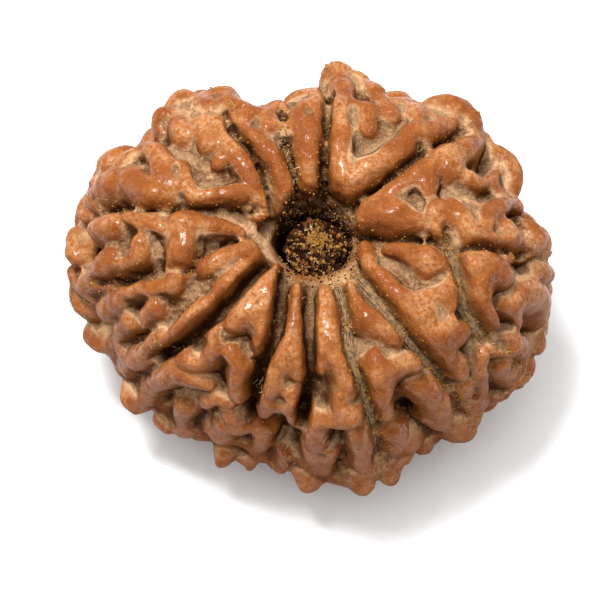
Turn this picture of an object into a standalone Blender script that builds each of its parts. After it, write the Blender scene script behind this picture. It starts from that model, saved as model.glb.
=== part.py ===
"""A many-faced rudraksha stone lying on one pole, with the dried pith left in its canal.

The stone is the woody pit of a small forest fruit. A natural canal runs through it from pole to pole,
and a dozen clefts run from pole to pole round it and part its faces. The faces carry round, branching
ridges that end in knobs at the rim. The stone is one solid: a ring-shaped body with the clefts pressed
in, and every ridge fused to it as a round worm of its own course and thickness.

Everything is worked out in millimetres, with +Z up along the canal, +Y away from the viewer and the
floor at z = 0, and is scaled to metres at the end.
"""

import math
import random

import bmesh
import bpy
import numpy as np
from mathutils import Matrix, Vector
from mathutils.bvhtree import BVHTree

METRES_PER_MM = 0.001

# The body, without its ridges
CANAL_AT = (0.2, 0.1)
THROAT_RADIUS = 1.9
BODY_HALF_HEIGHT = 8.5
BODY_CENTRE_HEIGHT = 9.75
OUTER_FULLNESS = 2.25
INNER_FULLNESS = 3.6
RIM_STANDOUT = 1.9
# The rim's distance from the canal, knobs included, by azimuth in degrees from +X. The notch is at 104.
RIM_RADII = {
    0: 15.0, 18: 14.2, 38: 14.1, 60: 12.8, 85: 12.6, 104: 10.6, 122: 13.3, 137: 13.6, 154: 15.3,
    180: 15.2, 199: 13.7, 215: 13.0, 240: 11.9, 262: 11.8, 285: 13.3, 305: 12.6, 330: 14.3,
}
AROUND_BODY = 240
AROUND_SECTION = 120
TORUS_RADIUS = 8.0

# The clefts between the faces
CLEFT_DEPTH = 1.5
CLEFT_HALF_WIDTH = 0.55

# The ridges
RIDGE_LIFT = 0.75
FOOT_LIFT = 0.15
THINNEST_RIDGE = 0.45
RIDGE_GROWTH = 1.08
PATH_STEP = 0.4
TIP_ANGLES = np.radians([80, 55, 30])
WORM_ROUNDNESS = 3
WELD_GAP = 0.001

# How the solid is fused and thinned out
VOXEL = 0.25
SMOOTH_ROUNDS = 4
SMOOTH_SHARE = 0.5
TRIANGLES = 11000
EVEN_OUT_SHARE = 0.35

# The block that cuts the lowest ridges level with the floor
FLOOR_BLOCK = (60.0, 60.0, 10.0)

# The pith in the canal
PITH_RADIUS = 1.5
PITH_HEAD_RADIUS = 1.85
PITH_TOP = 16.0
PITH_BOTTOM = 3.2
PITH_LUMP = 0.12
PITH_WAVES = ((3, 9), (5, -21), (2, 37))
PITH_HEAD_SHARE = 0.12
PITH_CRUMBLE = 0.25
PITH_SIDES = 16
PITH_RINGS = 16
BLUNTNESS = 14

# The view that the courses below are read in: 600 pixels wide, 16.2 pixels to a millimetre, the camera
# 68 degrees above the floor and looking along +Y
PIXELS_PER_MM = 16.2
VIEW_CENTRE = (310.0, 280.0)
VIEW_ELEVATION = math.radians(68.0)
MIDDLE_HEIGHT = 10.0
CAMERA_SIDE = 60.0
# A knob past the outline looks for the body this far towards the view's centre, as a share of the way
INWARD_SHARES = np.arange(0.0, 0.3, 0.01)

# The clefts, from the canal out to the rim, as pixels of that view
CLEFTS = {
    "A": [(293, 214), (296, 196), (291, 170), (288, 150), (284, 128), (284, 112)],
    "B": [(322, 203), (323, 180), (325, 150), (327, 128), (329, 105), (326, 88)],
    "C": [(362, 202), (380, 190), (405, 170), (425, 155), (445, 145), (470, 133), (490, 128)],
    "D": [(352, 243), (375, 241), (400, 241), (425, 243), (449, 252), (475, 252), (500, 256), (540, 262)],
    "D2": [(449, 256), (457, 285), (462, 308), (476, 328), (490, 345), (497, 358), (505, 385)],
    "E": [(360, 282), (375, 300), (395, 325), (415, 350), (435, 372), (450, 392), (462, 415)],
    "F": [(338, 290), (345, 315), (347, 345), (355, 370), (365, 400), (372, 420), (378, 440), (380, 475)],
    "G": [(310, 290), (309, 320), (310, 350), (311, 375), (305, 400), (303, 420), (302, 440), (296, 472)],
    "H": [(284, 285), (281, 310), (278, 335), (268, 355), (260, 375), (256, 400), (252, 420), (238, 465)],
    "I": [(258, 276), (245, 290), (225, 310), (205, 328), (190, 340), (172, 352), (155, 370), (146, 392)],
    "J": [(248, 243), (225, 249), (205, 258), (190, 275), (160, 272), (135, 279), (113, 287), (85, 303)],
    "K": [(247, 214), (225, 212), (200, 212), (170, 214), (145, 215), (125, 211), (100, 208), (80, 210)],
    "L": [(266, 208), (266, 190), (258, 170), (245, 150), (235, 138), (228, 125), (215, 95)],
}

# The ridges and knobs of the side that faces the view, face by face: x and y in pixels of the view and
# the radius in millimetres at each point of the course
FACE_K_L = [
    [(111, 165, 0.6), (124, 156, 0.6)],
    [(128, 164, 0.55), (140, 154, 0.55), (150, 153, 0.55), (160, 160, 0.55), (166, 180, 0.55)],
    [(100, 195, 0.7), (117, 184, 0.7)],
    [(134, 180, 0.7), (146, 188, 0.75), (160, 198, 0.75)],
    [(94, 184, 0.35), (99, 186, 0.35)],
    [(91, 201, 0.45), (98, 205, 0.45)],
    [(84, 215, 0.4), (92, 217, 0.4)],
    [(117, 178, 0.3), (122, 172, 0.3)],
    [(163, 152, 0.25), (174, 165, 0.25)],
    [(185, 164, 0.3), (189, 177, 0.3)],
    [(163, 115, 0.55), (160, 125, 0.55), (163, 133, 0.55)],
    [(178, 111, 0.8), (180, 122, 0.8), (187, 138, 0.75)],
    [(181, 99, 0.45), (188, 98, 0.45)],
    [(202, 101, 0.6), (210, 112, 0.6)],
    [(204, 126, 0.6), (210, 146, 0.6)],
    [(219, 122, 0.55), (222, 135, 0.5)],
    [(229, 146, 0.5), (236, 158, 0.6), (248, 172, 0.75), (258, 190, 0.7), (263, 210, 0.5)],
    [(228, 150, 0.35), (220, 165, 0.35)],
    [(243, 196, 0.55), (222, 196, 0.55), (206, 199, 0.5)],
    [(177, 187, 0.35), (190, 188, 0.4), (194, 199, 0.35)],
]
FACE_L_A = [
    [(218, 97, 0.5), (227, 95, 0.5)],
    [(231, 105, 0.5), (246, 113, 0.5), (240, 122, 0.45)],
    [(228, 101, 0.55), (231, 117, 0.5)],
    [(245, 122, 0.5), (260, 118, 0.5), (269, 130, 0.5)],
    [(262, 113, 0.35), (272, 122, 0.35)],
    [(251, 139, 0.55), (266, 151, 0.55), (277, 165, 0.55), (284, 183, 0.5), (283, 205, 0.6)],
]
FACE_A_B = [
    [(276, 110, 0.55), (281, 128, 0.55)],
    [(294, 98, 0.55), (312, 96, 0.55)],
    [(312, 91, 0.35), (318, 100, 0.35)],
    [(294, 128, 0.55), (303, 115, 0.55), (316, 106, 0.5), (323, 117, 0.5)],
    [(309, 134, 0.75), (309, 149, 0.8), (308, 167, 0.6), (309, 185, 0.45)],
]
FACE_B_C = [
    [(338, 72, 0.65), (341, 85, 0.7), (345, 92, 0.6)],
    [(358, 77, 0.35), (368, 84, 0.35)],
    [(331, 95, 0.35), (331, 104, 0.35)],
    [(344, 97, 0.5), (342, 112, 0.5)],
    [(354, 108, 0.4), (363, 115, 0.4)],
    [(365, 116, 0.55), (368, 130, 0.5)],
    [(340, 120, 0.5), (341, 140, 0.75), (341, 163, 0.85), (345, 180, 0.8)],
    [(347, 183, 0.75), (365, 172, 0.75), (385, 160, 0.7), (398, 150, 0.6)],
    [(352, 88, 0.5), (368, 90, 0.55), (380, 105, 0.55), (390, 118, 0.5)],
    [(395, 109, 0.5), (410, 109, 0.55), (414, 120, 0.5)],
    [(423, 118, 0.4), (427, 121, 0.4)],
    [(403, 145, 0.55), (411, 134, 0.6), (429, 132, 0.6), (438, 126, 0.55)],
    [(436, 109, 0.65), (452, 109, 0.7), (465, 117, 0.65)],
    [(446, 127, 0.55), (456, 125, 0.6), (472, 123, 0.6)],
]
FACE_C_D = [
    [(366, 207, 0.45), (394, 192, 0.5), (418, 178, 0.55), (426, 170, 0.55)],
    [(425, 172, 0.55), (427, 192, 0.5)],
    [(362, 222, 0.5), (378, 215, 0.8), (396, 216, 0.8), (413, 223, 0.55)],
    [(435, 213, 0.75), (438, 236, 0.7)],
    [(443, 214, 0.4), (448, 217, 0.4)],
    [(444, 156, 0.65), (447, 172, 0.65)],
    [(455, 158, 0.6), (464, 151, 0.6), (476, 141, 0.6)],
    [(484, 138, 0.4), (487, 150, 0.4)],
    [(498, 155, 0.6), (510, 166, 0.65), (511, 179, 0.65), (505, 189, 0.55)],
    [(490, 186, 0.45), (494, 170, 0.4)],
    [(490, 186, 0.5), (500, 196, 0.45)],
    [(490, 186, 0.45), (478, 185, 0.4), (466, 180, 0.45)],
    [(460, 218, 0.6), (469, 231, 0.65), (474, 240, 0.6)],
    [(474, 243, 0.5), (490, 245, 0.5)],
    [(483, 227, 0.5), (490, 213, 0.5), (499, 207, 0.45), (507, 204, 0.4), (517, 207, 0.4)],
    [(458, 218, 0.4), (454, 209, 0.35)],
    [(449, 201, 0.3), (457, 214, 0.3)],
    [(503, 231, 0.7), (509, 243, 0.75)],
    [(529, 230, 0.55), (535, 240, 0.55)],
    [(522, 248, 0.45), (536, 253, 0.45)],
    [(532, 271, 0.5), (549, 276, 0.5)],
]
FACE_D_D2 = [
    [(463, 266, 0.7), (482, 267, 0.85), (503, 276, 0.55)],
    [(478, 280, 0.75), (480, 299, 0.5), (487, 318, 0.5), (492, 327, 0.5)],
    [(513, 295, 0.75), (528, 295, 0.85), (536, 307, 0.8), (532, 320, 0.55)],
    [(501, 303, 0.35), (516, 322, 0.35)],
    [(497, 345, 0.6), (508, 341, 0.7), (518, 348, 0.65)],
    [(536, 336, 0.5), (538, 345, 0.5)],
    [(526, 362, 0.5), (520, 378, 0.55)],
    [(498, 362, 0.6), (505, 380, 0.6), (500, 395, 0.5)],
]
FACE_D2_E = [
    [(386, 247, 0.35), (404, 252, 0.5), (424, 261, 0.8), (439, 262, 0.55)],
    [(364, 248, 0.5), (368, 266, 0.5), (384, 281, 0.55), (400, 300, 0.6), (416, 308, 0.8), (424, 314, 0.7)],
    [(416, 304, 0.55), (429, 297, 0.55), (443, 292, 0.55), (450, 286, 0.5)],
    [(443, 302, 0.5), (447, 305, 0.5)],
    [(438, 333, 0.8), (463, 331, 0.45)],
    [(438, 333, 0.7), (442, 348, 0.5), (446, 362, 0.45)],
    [(425, 326, 0.5), (438, 330, 0.7), (447, 321, 0.5)],
    [(458, 358, 0.3), (457, 374, 0.5)],
    [(462, 386, 0.45), (464, 395, 0.45)],
    [(471, 404, 0.5), (473, 417, 0.5)],
    [(465, 417, 0.5), (467, 433, 0.5)],
    [(480, 352, 0.4), (478, 375, 0.45), (482, 392, 0.45)],
]
FACE_E_F = [
    [(348, 285, 0.35), (354, 300, 0.5), (362, 316, 0.7), (378, 326, 0.7), (390, 335, 0.55)],
    [(375, 355, 0.5), (378, 368, 0.7), (392, 364, 0.6), (412, 361, 0.45)],
    [(376, 368, 0.7), (380, 390, 0.55), (385, 414, 0.55)],
    [(390, 428, 0.6), (397, 432, 0.7), (394, 445, 0.6)],
    [(398, 454, 0.5), (405, 455, 0.5)],
    [(390, 465, 0.5), (390, 480, 0.5)],
    [(411, 381, 0.55), (425, 386, 0.75), (438, 404, 0.75), (441, 415, 0.55)],
    [(425, 417, 0.35), (443, 422, 0.5), (454, 433, 0.6)],
    [(422, 438, 0.5), (424, 450, 0.5)],
]
FACE_F_G = [
    [(325, 293, 0.5), (325, 305, 0.6), (326, 318, 0.65), (331, 338, 0.65), (342, 363, 0.55), (347, 381, 0.6)],
    [(322, 340, 0.45), (321, 357, 0.5), (321, 367, 0.45)],
    [(346, 385, 0.55), (342, 400, 0.45), (349, 411, 0.7)],
    [(349, 411, 0.7), (338, 416, 0.5), (323, 417, 0.4)],
    [(317, 420, 0.55), (315, 432, 0.55), (318, 444, 0.55)],
    [(313, 448, 0.55), (316, 470, 0.75), (305, 485, 0.5)],
    [(333, 452, 0.4), (322, 470, 0.4), (306, 484, 0.4)],
    [(358, 429, 0.55), (361, 444, 0.55), (364, 466, 0.55)],
    [(357, 479, 0.6), (363, 488, 0.6)],
]
FACE_G_H = [
    [(299, 285, 0.35), (296, 300, 0.5), (293, 318, 0.55), (293, 338, 0.7), (299, 360, 0.6), (303, 372, 0.45)],
    [(287, 352, 0.5), (280, 364, 0.55), (275, 384, 0.6), (267, 405, 0.5), (264, 415, 0.4)],
    [(291, 390, 0.55), (299, 404, 0.7), (297, 422, 0.45)],
    [(277, 404, 0.4), (286, 400, 0.35)],
    [(258, 425, 0.5), (262, 435, 0.55), (251, 450, 0.5), (245, 467, 0.55)],
    [(286, 452, 0.5), (287, 463, 0.5)],
    [(270, 455, 0.4), (280, 470, 0.4)],
]
FACE_H_I = [
    [(276, 268, 0.5), (274, 290, 0.7), (270, 312, 0.75), (268, 330, 0.6), (262, 345, 0.5)],
    [(270, 290, 0.7), (255, 303, 0.75), (242, 316, 0.6), (233, 324, 0.5)],
    [(215, 330, 0.4), (216, 345, 0.45), (208, 358, 0.5), (197, 361, 0.55), (184, 357, 0.45)],
    [(232, 350, 0.5), (240, 362, 0.55), (242, 376, 0.6), (243, 392, 0.7)],
    [(205, 404, 0.45), (210, 398, 0.45), (220, 396, 0.45), (228, 400, 0.4)],
    [(228, 408, 0.45), (240, 423, 0.6)],
    [(226, 420, 0.65), (224, 433, 0.65), (230, 450, 0.5)],
    [(222, 445, 0.5), (219, 464, 0.5)],
    [(209, 383, 0.4), (196, 377, 0.5), (176, 370, 0.65), (160, 381, 0.65), (144, 398, 0.5)],
    [(130, 386, 0.55), (134, 398, 0.55)],
    [(185, 403, 0.6), (185, 425, 0.75)],
    [(156, 418, 0.4), (165, 430, 0.4)],
    [(125, 402, 0.4), (135, 410, 0.4)],
]
FACE_I_J = [
    [(262, 258, 0.4), (243, 274, 0.5), (226, 291, 0.6), (207, 309, 0.7), (190, 323, 0.55), (178, 333, 0.5)],
    [(165, 335, 0.5), (155, 344, 0.5), (148, 352, 0.55), (138, 358, 0.7), (129, 366, 0.8)],
    [(250, 248, 0.5), (228, 257, 0.5), (208, 266, 0.5)],
    [(178, 286, 0.4), (160, 288, 0.4), (140, 289, 0.4), (125, 294, 0.4)],
    [(108, 308, 0.7), (122, 301, 0.5)],
    [(88, 335, 0.5), (100, 342, 0.5)],
    [(132, 322, 0.5), (120, 334, 0.45), (112, 346, 0.5)],
    [(160, 308, 0.5), (146, 318, 0.45)],
]
FACE_J_K = [
    [(243, 233, 0.35), (222, 230, 0.45), (203, 227, 0.55), (186, 227, 0.75)],
    [(186, 228, 0.75), (185, 245, 0.7), (181, 260, 0.55), (182, 272, 0.6)],
    [(133, 218, 0.45), (150, 222, 0.5), (165, 228, 0.35)],
    [(98, 228, 0.7), (118, 225, 0.7)],
    [(142, 244, 0.55), (138, 257, 0.55), (123, 265, 0.4)],
    [(114, 258, 0.55), (104, 271, 0.75), (92, 286, 0.6)],
    [(76, 237, 0.5), (72, 256, 0.5)],
    [(71, 270, 0.4), (72, 276, 0.4)],
    [(75, 290, 0.5), (80, 303, 0.5), (90, 312, 0.5)],
    [(93, 321, 0.3), (96, 325, 0.3)],
]
FACES = [
    FACE_K_L, FACE_L_A, FACE_A_B, FACE_B_C, FACE_C_D, FACE_D_D2, FACE_D2_E,
    FACE_E_F, FACE_F_G, FACE_G_H, FACE_H_I, FACE_I_J, FACE_J_K,
]

# The far side and the underside, whose ridges follow the same pattern by a rule
FAR_SIDE_SEED = 12
FAR_ROW_SPACING = 2.1
FAR_COLUMN_SPACING = 2.1
FAR_RADIUS = 0.62
UNDER_RIDGE_TURN = -62.0
UNDER_RIDGE_JITTER = 8.0
POLE_TURN = -128.0
UNDER_CLEFT_POINTS = 16
# A hidden ridge from the pole: its share of the way to the cleft at each step, and its thickness
UNDER_SPREAD = np.array([0.0, 0.05, 0.13, 0.2, 0.25, 0.27])
UNDER_THICKNESS = np.array([0.8, 1.1, 1.2, 1.1, 1.1, 1.25])
UNDER_WANDER = 0.04
# A hidden branch: the three points of its course, and its thickness from foot to knob
BRANCH_LEAN = np.array([-1.0, 0.2, 1.0])
BRANCH_CLIMB = np.array([-1.0, 0.0, 1.0])
BRANCH_THICKNESS = np.array([0.9, 1.0, 1.35])


def signed_power(value, exponent):
    """The value's size raised to the exponent, with its own sign."""
    return np.sign(value) * np.abs(value) ** exponent


def rim_radius(azimuth):
    """The rim's distance from the canal at each azimuth in radians: a round curve through RIM_RADII."""
    at = np.array(sorted(RIM_RADII), float)
    size = np.array([RIM_RADII[degrees] for degrees in sorted(RIM_RADII)])
    at = np.concatenate([at[-2:] - 360.0, at, at[:3] + 360.0])
    size = np.concatenate([size[-2:], size, size[:3]])
    degrees = np.degrees(azimuth) % 360.0
    left = np.clip(np.searchsorted(at, degrees, side="right") - 1, 1, len(at) - 3)
    share = (degrees - at[left]) / (at[left + 1] - at[left])
    slope_left = (size[left + 1] - size[left - 1]) / (at[left + 1] - at[left - 1])
    slope_right = (size[left + 2] - size[left]) / (at[left + 2] - at[left])
    run = at[left + 1] - at[left]
    cube, square = share**3, share**2
    return (
        (2 * cube - 3 * square + 1) * size[left]
        + (cube - 2 * square + share) * run * slope_left
        + (3 * square - 2 * cube) * size[left + 1]
        + (cube - square) * run * slope_right
    )


def on_body(azimuth, turn, lift=0.0):
    """Points of the bare body, as an array of rows.

    The azimuth goes round the canal and the turn goes round the ring's section, from 0 at the rim over
    90 degrees at the top to 180 in the canal. The section is a superellipse, rounder on its outer half
    than on its inner half.
    """
    azimuth, turn = np.broadcast_arrays(np.asarray(azimuth, float), np.asarray(turn, float))
    rim = rim_radius(azimuth) - RIM_STANDOUT + lift
    middle = (rim + THROAT_RADIUS - lift) / 2
    half = (rim - THROAT_RADIUS + lift) / 2
    fullness = np.where(np.cos(turn) > 0, OUTER_FULLNESS, INNER_FULLNESS)
    reach = middle + half * signed_power(np.cos(turn), 2 / fullness)
    height = BODY_CENTRE_HEIGHT + (BODY_HALF_HEIGHT + lift) * signed_power(np.sin(turn), 2 / fullness)
    x = CANAL_AT[0] + reach * np.cos(azimuth)
    y = CANAL_AT[1] + reach * np.sin(azimuth)
    return np.stack([x, y, height], axis=-1)


def new_torus(name):
    """A torus primitive round the canal, which shape_body reshapes."""
    bpy.ops.mesh.primitive_torus_add(
        major_segments=AROUND_BODY,
        minor_segments=AROUND_SECTION,
        major_radius=TORUS_RADIUS,
        minor_radius=TORUS_RADIUS / 2,
    )
    torus = bpy.context.object
    torus.name = name
    return torus


def points_of(mesh):
    """The mesh's points as an array of rows."""
    flat = np.empty(len(mesh.vertices) * 3)
    mesh.vertices.foreach_get("co", flat)
    return flat.reshape(-1, 3)


def angles_of(torus):
    """The azimuth and the turn of each point of a torus primitive."""
    points = points_of(torus.data)
    azimuth = np.arctan2(points[:, 1], points[:, 0])
    turn = np.arctan2(points[:, 2], np.hypot(points[:, 0], points[:, 1]) - TORUS_RADIUS)
    return azimuth, turn


def shape_body(torus, angles, lift):
    """Moves the points of a torus with these angles onto the body, raised by the lift."""
    torus.data.vertices.foreach_set("co", on_body(*angles, lift).ravel())
    torus.data.update()


def tree_of(piece):
    """The object's faces, ready for rays."""
    return BVHTree.FromObject(piece, bpy.context.evaluated_depsgraph_get())


def view_axes():
    """The view's right, its up and the way towards the camera, as unit vectors."""
    up = Vector((0.0, math.sin(VIEW_ELEVATION), math.cos(VIEW_ELEVATION)))
    towards = Vector((0.0, -math.cos(VIEW_ELEVATION), math.sin(VIEW_ELEVATION)))
    return Vector((1.0, 0.0, 0.0)), up, towards


def in_view(x, y):
    """The point of the plane through the stone's middle that shows at this pixel."""
    right, up, _ = view_axes()
    across = (x - VIEW_CENTRE[0]) / PIXELS_PER_MM
    above = (VIEW_CENTRE[1] - y) / PIXELS_PER_MM
    return Vector((0.0, 0.0, MIDDLE_HEIGHT)) + right * across + up * above


def behind_pixel(tree, x, y):
    """The body's point that shows at this pixel. Past the outline it stands level with the outline."""
    _, _, towards = view_axes()
    aim = in_view(x, y)
    centre = in_view(*VIEW_CENTRE)
    for share in INWARD_SHARES:
        inner = aim.lerp(centre, share)
        hit = tree.ray_cast(inner + towards * CAMERA_SIDE, -towards)[0]
        if hit:
            return hit + (aim - inner)
    return aim


def catmull_rom(a, b, c, d, share):
    """The points between b and c of the smooth curve through all four, at these shares of the way."""
    start = b + (c - a) / 2 * share
    bend = (a - 2.5 * b + 2 * c - d / 2) * share**2
    twist = (1.5 * (b - c) + (d - a) / 2) * share**3
    return start + bend + twist


def rounded_course(points, radii):
    """A smooth course through the points, with a radius at each step that closes each end in a half ball."""
    points = np.array(points, float)
    radii = np.array(radii, float)
    padded = np.vstack([2 * points[0] - points[1], points, 2 * points[-1] - points[-2]])
    course = []
    thickness = []
    for i in range(len(points) - 1):
        a, b, c, d = padded[i : i + 4]
        count = max(2, int(np.linalg.norm(c - b) / PATH_STEP))
        share = np.arange(count)[:, None] / count
        course.append(catmull_rom(a, b, c, d, share))
        thickness.append(radii[i] + (radii[i + 1] - radii[i]) * share[:, 0])
    course = np.vstack(course + [points[-1:]])
    thickness = np.concatenate(thickness + [radii[-1:]])
    first = (points[0] - points[1]) / np.linalg.norm(points[0] - points[1])
    last = (points[-1] - points[-2]) / np.linalg.norm(points[-1] - points[-2])
    reach = np.sin(TIP_ANGLES)[:, None]
    shrink = np.cos(TIP_ANGLES)
    first_tip = points[0] + first * radii[0] * reach
    last_tip = points[-1] + last * radii[-1] * reach[::-1]
    course = np.vstack([first_tip, course, last_tip])
    return course, np.concatenate([radii[0] * shrink, thickness, radii[-1] * shrink[::-1]])


def front_courses(tree):
    """The courses and radii of the ridges that the view shows, on the body raised by the ridges' lift."""
    courses = []
    for face in FACES:
        for ridge in face:
            points = [behind_pixel(tree, x, y) for x, y, _ in ridge]
            radii = [max(radius, THINNEST_RIDGE) * RIDGE_GROWTH for _, _, radius in ridge]
            courses.append(rounded_course(points, radii))
    return courses


def cleft_courses(tree):
    """Each cleft as rows of points, from the canal over the rim and down to the lower pole."""
    courses = []
    for pixels in CLEFTS.values():
        seen = [np.array(behind_pixel(tree, x, y)) for x, y in pixels]
        azimuth = azimuth_of(seen[-1])
        turns = np.radians(np.linspace(hidden_from(azimuth), POLE_TURN, UNDER_CLEFT_POINTS))
        route = np.vstack([seen, on_body(azimuth, turns)])
        courses.append(rounded_course(route, np.ones(len(route)))[0])
    return courses


def hidden_from(azimuth):
    """The turn in degrees at which the side of the body passes out of the view."""
    return math.degrees(math.pi / 2 - VIEW_ELEVATION) * math.sin(azimuth) - 4.0


def azimuth_of(point):
    """The direction of a point from the canal, in radians."""
    return math.atan2(point[1] - CANAL_AT[1], point[0] - CANAL_AT[0])


def cleft_azimuths():
    """The azimuth at which each cleft crosses the rim, in degrees and in order."""
    return sorted(math.degrees(azimuth_of(in_view(*pixels[-1]))) % 360.0 for pixels in CLEFTS.values())


def far_courses(lift):
    """The ridges of the hidden sides: along the clefts near the pole, then short knobbed branches."""
    draw = random.Random(FAR_SIDE_SEED)
    edges = cleft_azimuths()
    courses = []
    for start, end in zip(edges, edges[1:] + [edges[0] + 360.0]):
        courses += under_ridges(draw, start, end, lift)
        courses += far_branches(draw, start, end, lift)
    return courses


def under_ridges(draw, start, end, lift):
    """Two ridges that leave the lower pole as one wedge and part to run along a face's two clefts."""
    courses = []
    for side in (-1, 1):
        top = UNDER_RIDGE_TURN + draw.uniform(-UNDER_RIDGE_JITTER, UNDER_RIDGE_JITTER)
        turns = np.linspace(POLE_TURN, top, len(UNDER_SPREAD))
        share = 0.5 + side * UNDER_SPREAD
        wander = np.array([0.0] + [draw.uniform(-UNDER_WANDER, UNDER_WANDER) for _ in UNDER_SPREAD[1:]])
        azimuth = np.radians(start + (end - start) * share) + wander
        points = on_body(azimuth, np.radians(turns), lift)
        courses.append(rounded_course(points, FAR_RADIUS * UNDER_THICKNESS))
    return courses


def far_branches(draw, start, end, lift):
    """Rows of short branches that lean to one side and the other and end in knobs."""
    courses = []
    middle = math.radians((start + end) / 2)
    reach = rim_radius(np.array(middle)) - RIM_STANDOUT
    height = hidden_from(middle) - UNDER_RIDGE_TURN
    rows = max(2, round(math.radians(height) * BODY_HALF_HEIGHT / FAR_ROW_SPACING))
    for row in range(rows + 1):
        turn = UNDER_RIDGE_TURN + height * row / rows
        width = math.radians(end - start) * reach * (0.55 + 0.45 * math.cos(math.radians(turn)))
        columns = max(1, round(width / FAR_COLUMN_SPACING))
        for column in range(columns):
            share = (column + 0.5 + draw.uniform(-0.15, 0.15)) / columns
            azimuth = math.radians(start + (end - start) * share)
            lean = draw.choice((-1, 1)) * draw.uniform(0.03, 0.1)
            climb = math.radians(draw.uniform(4.0, 9.0))
            turns = np.radians(turn + draw.uniform(-4.0, 4.0)) + climb * BRANCH_CLIMB
            points = on_body(azimuth + lean * BRANCH_LEAN, turns, lift)
            radius = FAR_RADIUS * draw.uniform(0.85, 1.15)
            courses.append(rounded_course(points, radius * BRANCH_THICKNESS))
    return courses


def press_clefts(torus, courses):
    """Sinks the body along each cleft: the depth falls off as a bell curve of the distance to it."""
    points = points_of(torus.data)
    nearest = np.full(len(points), np.inf)
    for course in courses:
        gaps = np.linalg.norm(points[:, None, :] - course[None], axis=2)
        nearest = np.minimum(nearest, gaps.min(axis=1))
    normals = np.empty(len(points) * 3)
    torus.data.vertices.foreach_get("normal", normals)
    depth = CLEFT_DEPTH * np.exp(-((nearest / CLEFT_HALF_WIDTH) ** 2))
    torus.data.vertices.foreach_set("co", (points - normals.reshape(-1, 3) * depth[:, None]).ravel())
    torus.data.update()


def worms(name, courses):
    """One mesh object of round worms along the courses, made as a curve with a bevel of unit radius."""
    curve = bpy.data.curves.new(name, "CURVE")
    curve.dimensions = "3D"
    curve.bevel_depth = 1.0
    curve.bevel_resolution = WORM_ROUNDNESS
    curve.use_fill_caps = True
    for course, thickness in courses:
        spline = curve.splines.new("POLY")
        spline.points.add(len(course) - 1)
        spline.points.foreach_set("co", np.c_[course, np.ones(len(course))].ravel())
        spline.points.foreach_set("radius", thickness)
    drawn = bpy.data.objects.new(name + "_courses", curve)
    bpy.context.collection.objects.link(drawn)
    mesh = bpy.data.meshes.new_from_object(drawn.evaluated_get(bpy.context.evaluated_depsgraph_get()))
    bpy.data.objects.remove(drawn)
    return mesh


def weld(mesh):
    """Joins the mesh's points that are closer than the weld's gap."""
    bm = bmesh.new()
    bm.from_mesh(mesh)
    bmesh.ops.remove_doubles(bm, verts=bm.verts, dist=WELD_GAP)
    bm.to_mesh(mesh)
    bm.free()


def join_meshes(name, meshes):
    """A new object whose mesh holds all of the meshes."""
    bm = bmesh.new()
    for mesh in meshes:
        bm.from_mesh(mesh)
    joined = bpy.data.meshes.new(name)
    bm.to_mesh(joined)
    bm.free()
    piece = bpy.data.objects.new(name, joined)
    bpy.context.collection.objects.link(piece)
    return piece


def apply_modifiers(piece):
    """Replaces the object's mesh by the one that its modifiers give."""
    graph = bpy.context.evaluated_depsgraph_get()
    mesh = bpy.data.meshes.new_from_object(piece.evaluated_get(graph))
    piece.modifiers.clear()
    piece.data = mesh


def fuse(piece):
    """Fuses the worms and the body into one skin, rounds the joints and thins the skin out."""
    remesh = piece.modifiers.new("Fuse", "REMESH")
    remesh.mode = "VOXEL"
    remesh.voxel_size = VOXEL
    smooth = piece.modifiers.new("Round", "SMOOTH")
    smooth.factor = SMOOTH_SHARE
    smooth.iterations = SMOOTH_ROUNDS
    apply_modifiers(piece)
    keep_largest(piece.data)
    thin = piece.modifiers.new("Thin", "DECIMATE")
    thin.ratio = TRIANGLES / (2 * len(piece.data.polygons))
    thin.use_collapse_triangulate = True
    even = piece.modifiers.new("Even", "SMOOTH")
    even.factor = EVEN_OUT_SHARE
    apply_modifiers(piece)


def keep_largest(mesh):
    """Drops the loose scraps: only the largest connected skin stays."""
    bm = bmesh.new()
    bm.from_mesh(mesh)
    left = set(bm.verts)
    groups = []
    while left:
        group = {left.pop()}
        edge_of_group = list(group)
        while edge_of_group:
            vert = edge_of_group.pop()
            fresh = {edge.other_vert(vert) for edge in vert.link_edges} & left
            left -= fresh
            group |= fresh
            edge_of_group += fresh
        groups.append(group)
    largest = max(groups, key=len)
    bmesh.ops.delete(bm, geom=[vert for vert in bm.verts if vert not in largest], context="VERTS")
    bm.to_mesh(mesh)
    bm.free()


def cut_at_floor(piece, cutters):
    """Cuts the lowest ridges flat at z = 0, so that the stone stands on small flat spots."""
    bpy.ops.mesh.primitive_cube_add(size=1.0, location=(0.0, 0.0, -FLOOR_BLOCK[2] / 2))
    floor = bpy.context.object
    floor.name = "floor_cutter"
    floor.data.transform(Matrix.Diagonal((*FLOOR_BLOCK, 1.0)))
    floor.hide_render = True
    floor.display_type = "WIRE"
    move_to(floor, cutters)
    cut = piece.modifiers.new("Floor", "BOOLEAN")
    cut.operation = "DIFFERENCE"
    cut.solver = "EXACT"
    cut.object = floor
    apply_modifiers(piece)


def move_to(piece, collection):
    """Moves an object from its own collections into this one."""
    for holder in list(piece.users_collection):
        holder.objects.unlink(piece)
    collection.objects.link(piece)


def make_stone(collection, cutters):
    """The stone: the body with its clefts, and all the ridges fused to it."""
    body = new_torus("body")
    angles = angles_of(body)
    courses = []
    for lift in (RIDGE_LIFT, FOOT_LIFT):
        shape_body(body, angles, lift)
        courses += front_courses(tree_of(body)) + far_courses(lift)
    shape_body(body, angles, 0.0)
    press_clefts(body, cleft_courses(tree_of(body)))
    ridges = worms("ridges", courses)
    weld(ridges)
    stone = join_meshes("stone", [body.data, ridges])
    bpy.data.objects.remove(body)
    fuse(stone)
    cut_at_floor(stone, cutters)
    move_to(stone, collection)
    return stone


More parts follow.
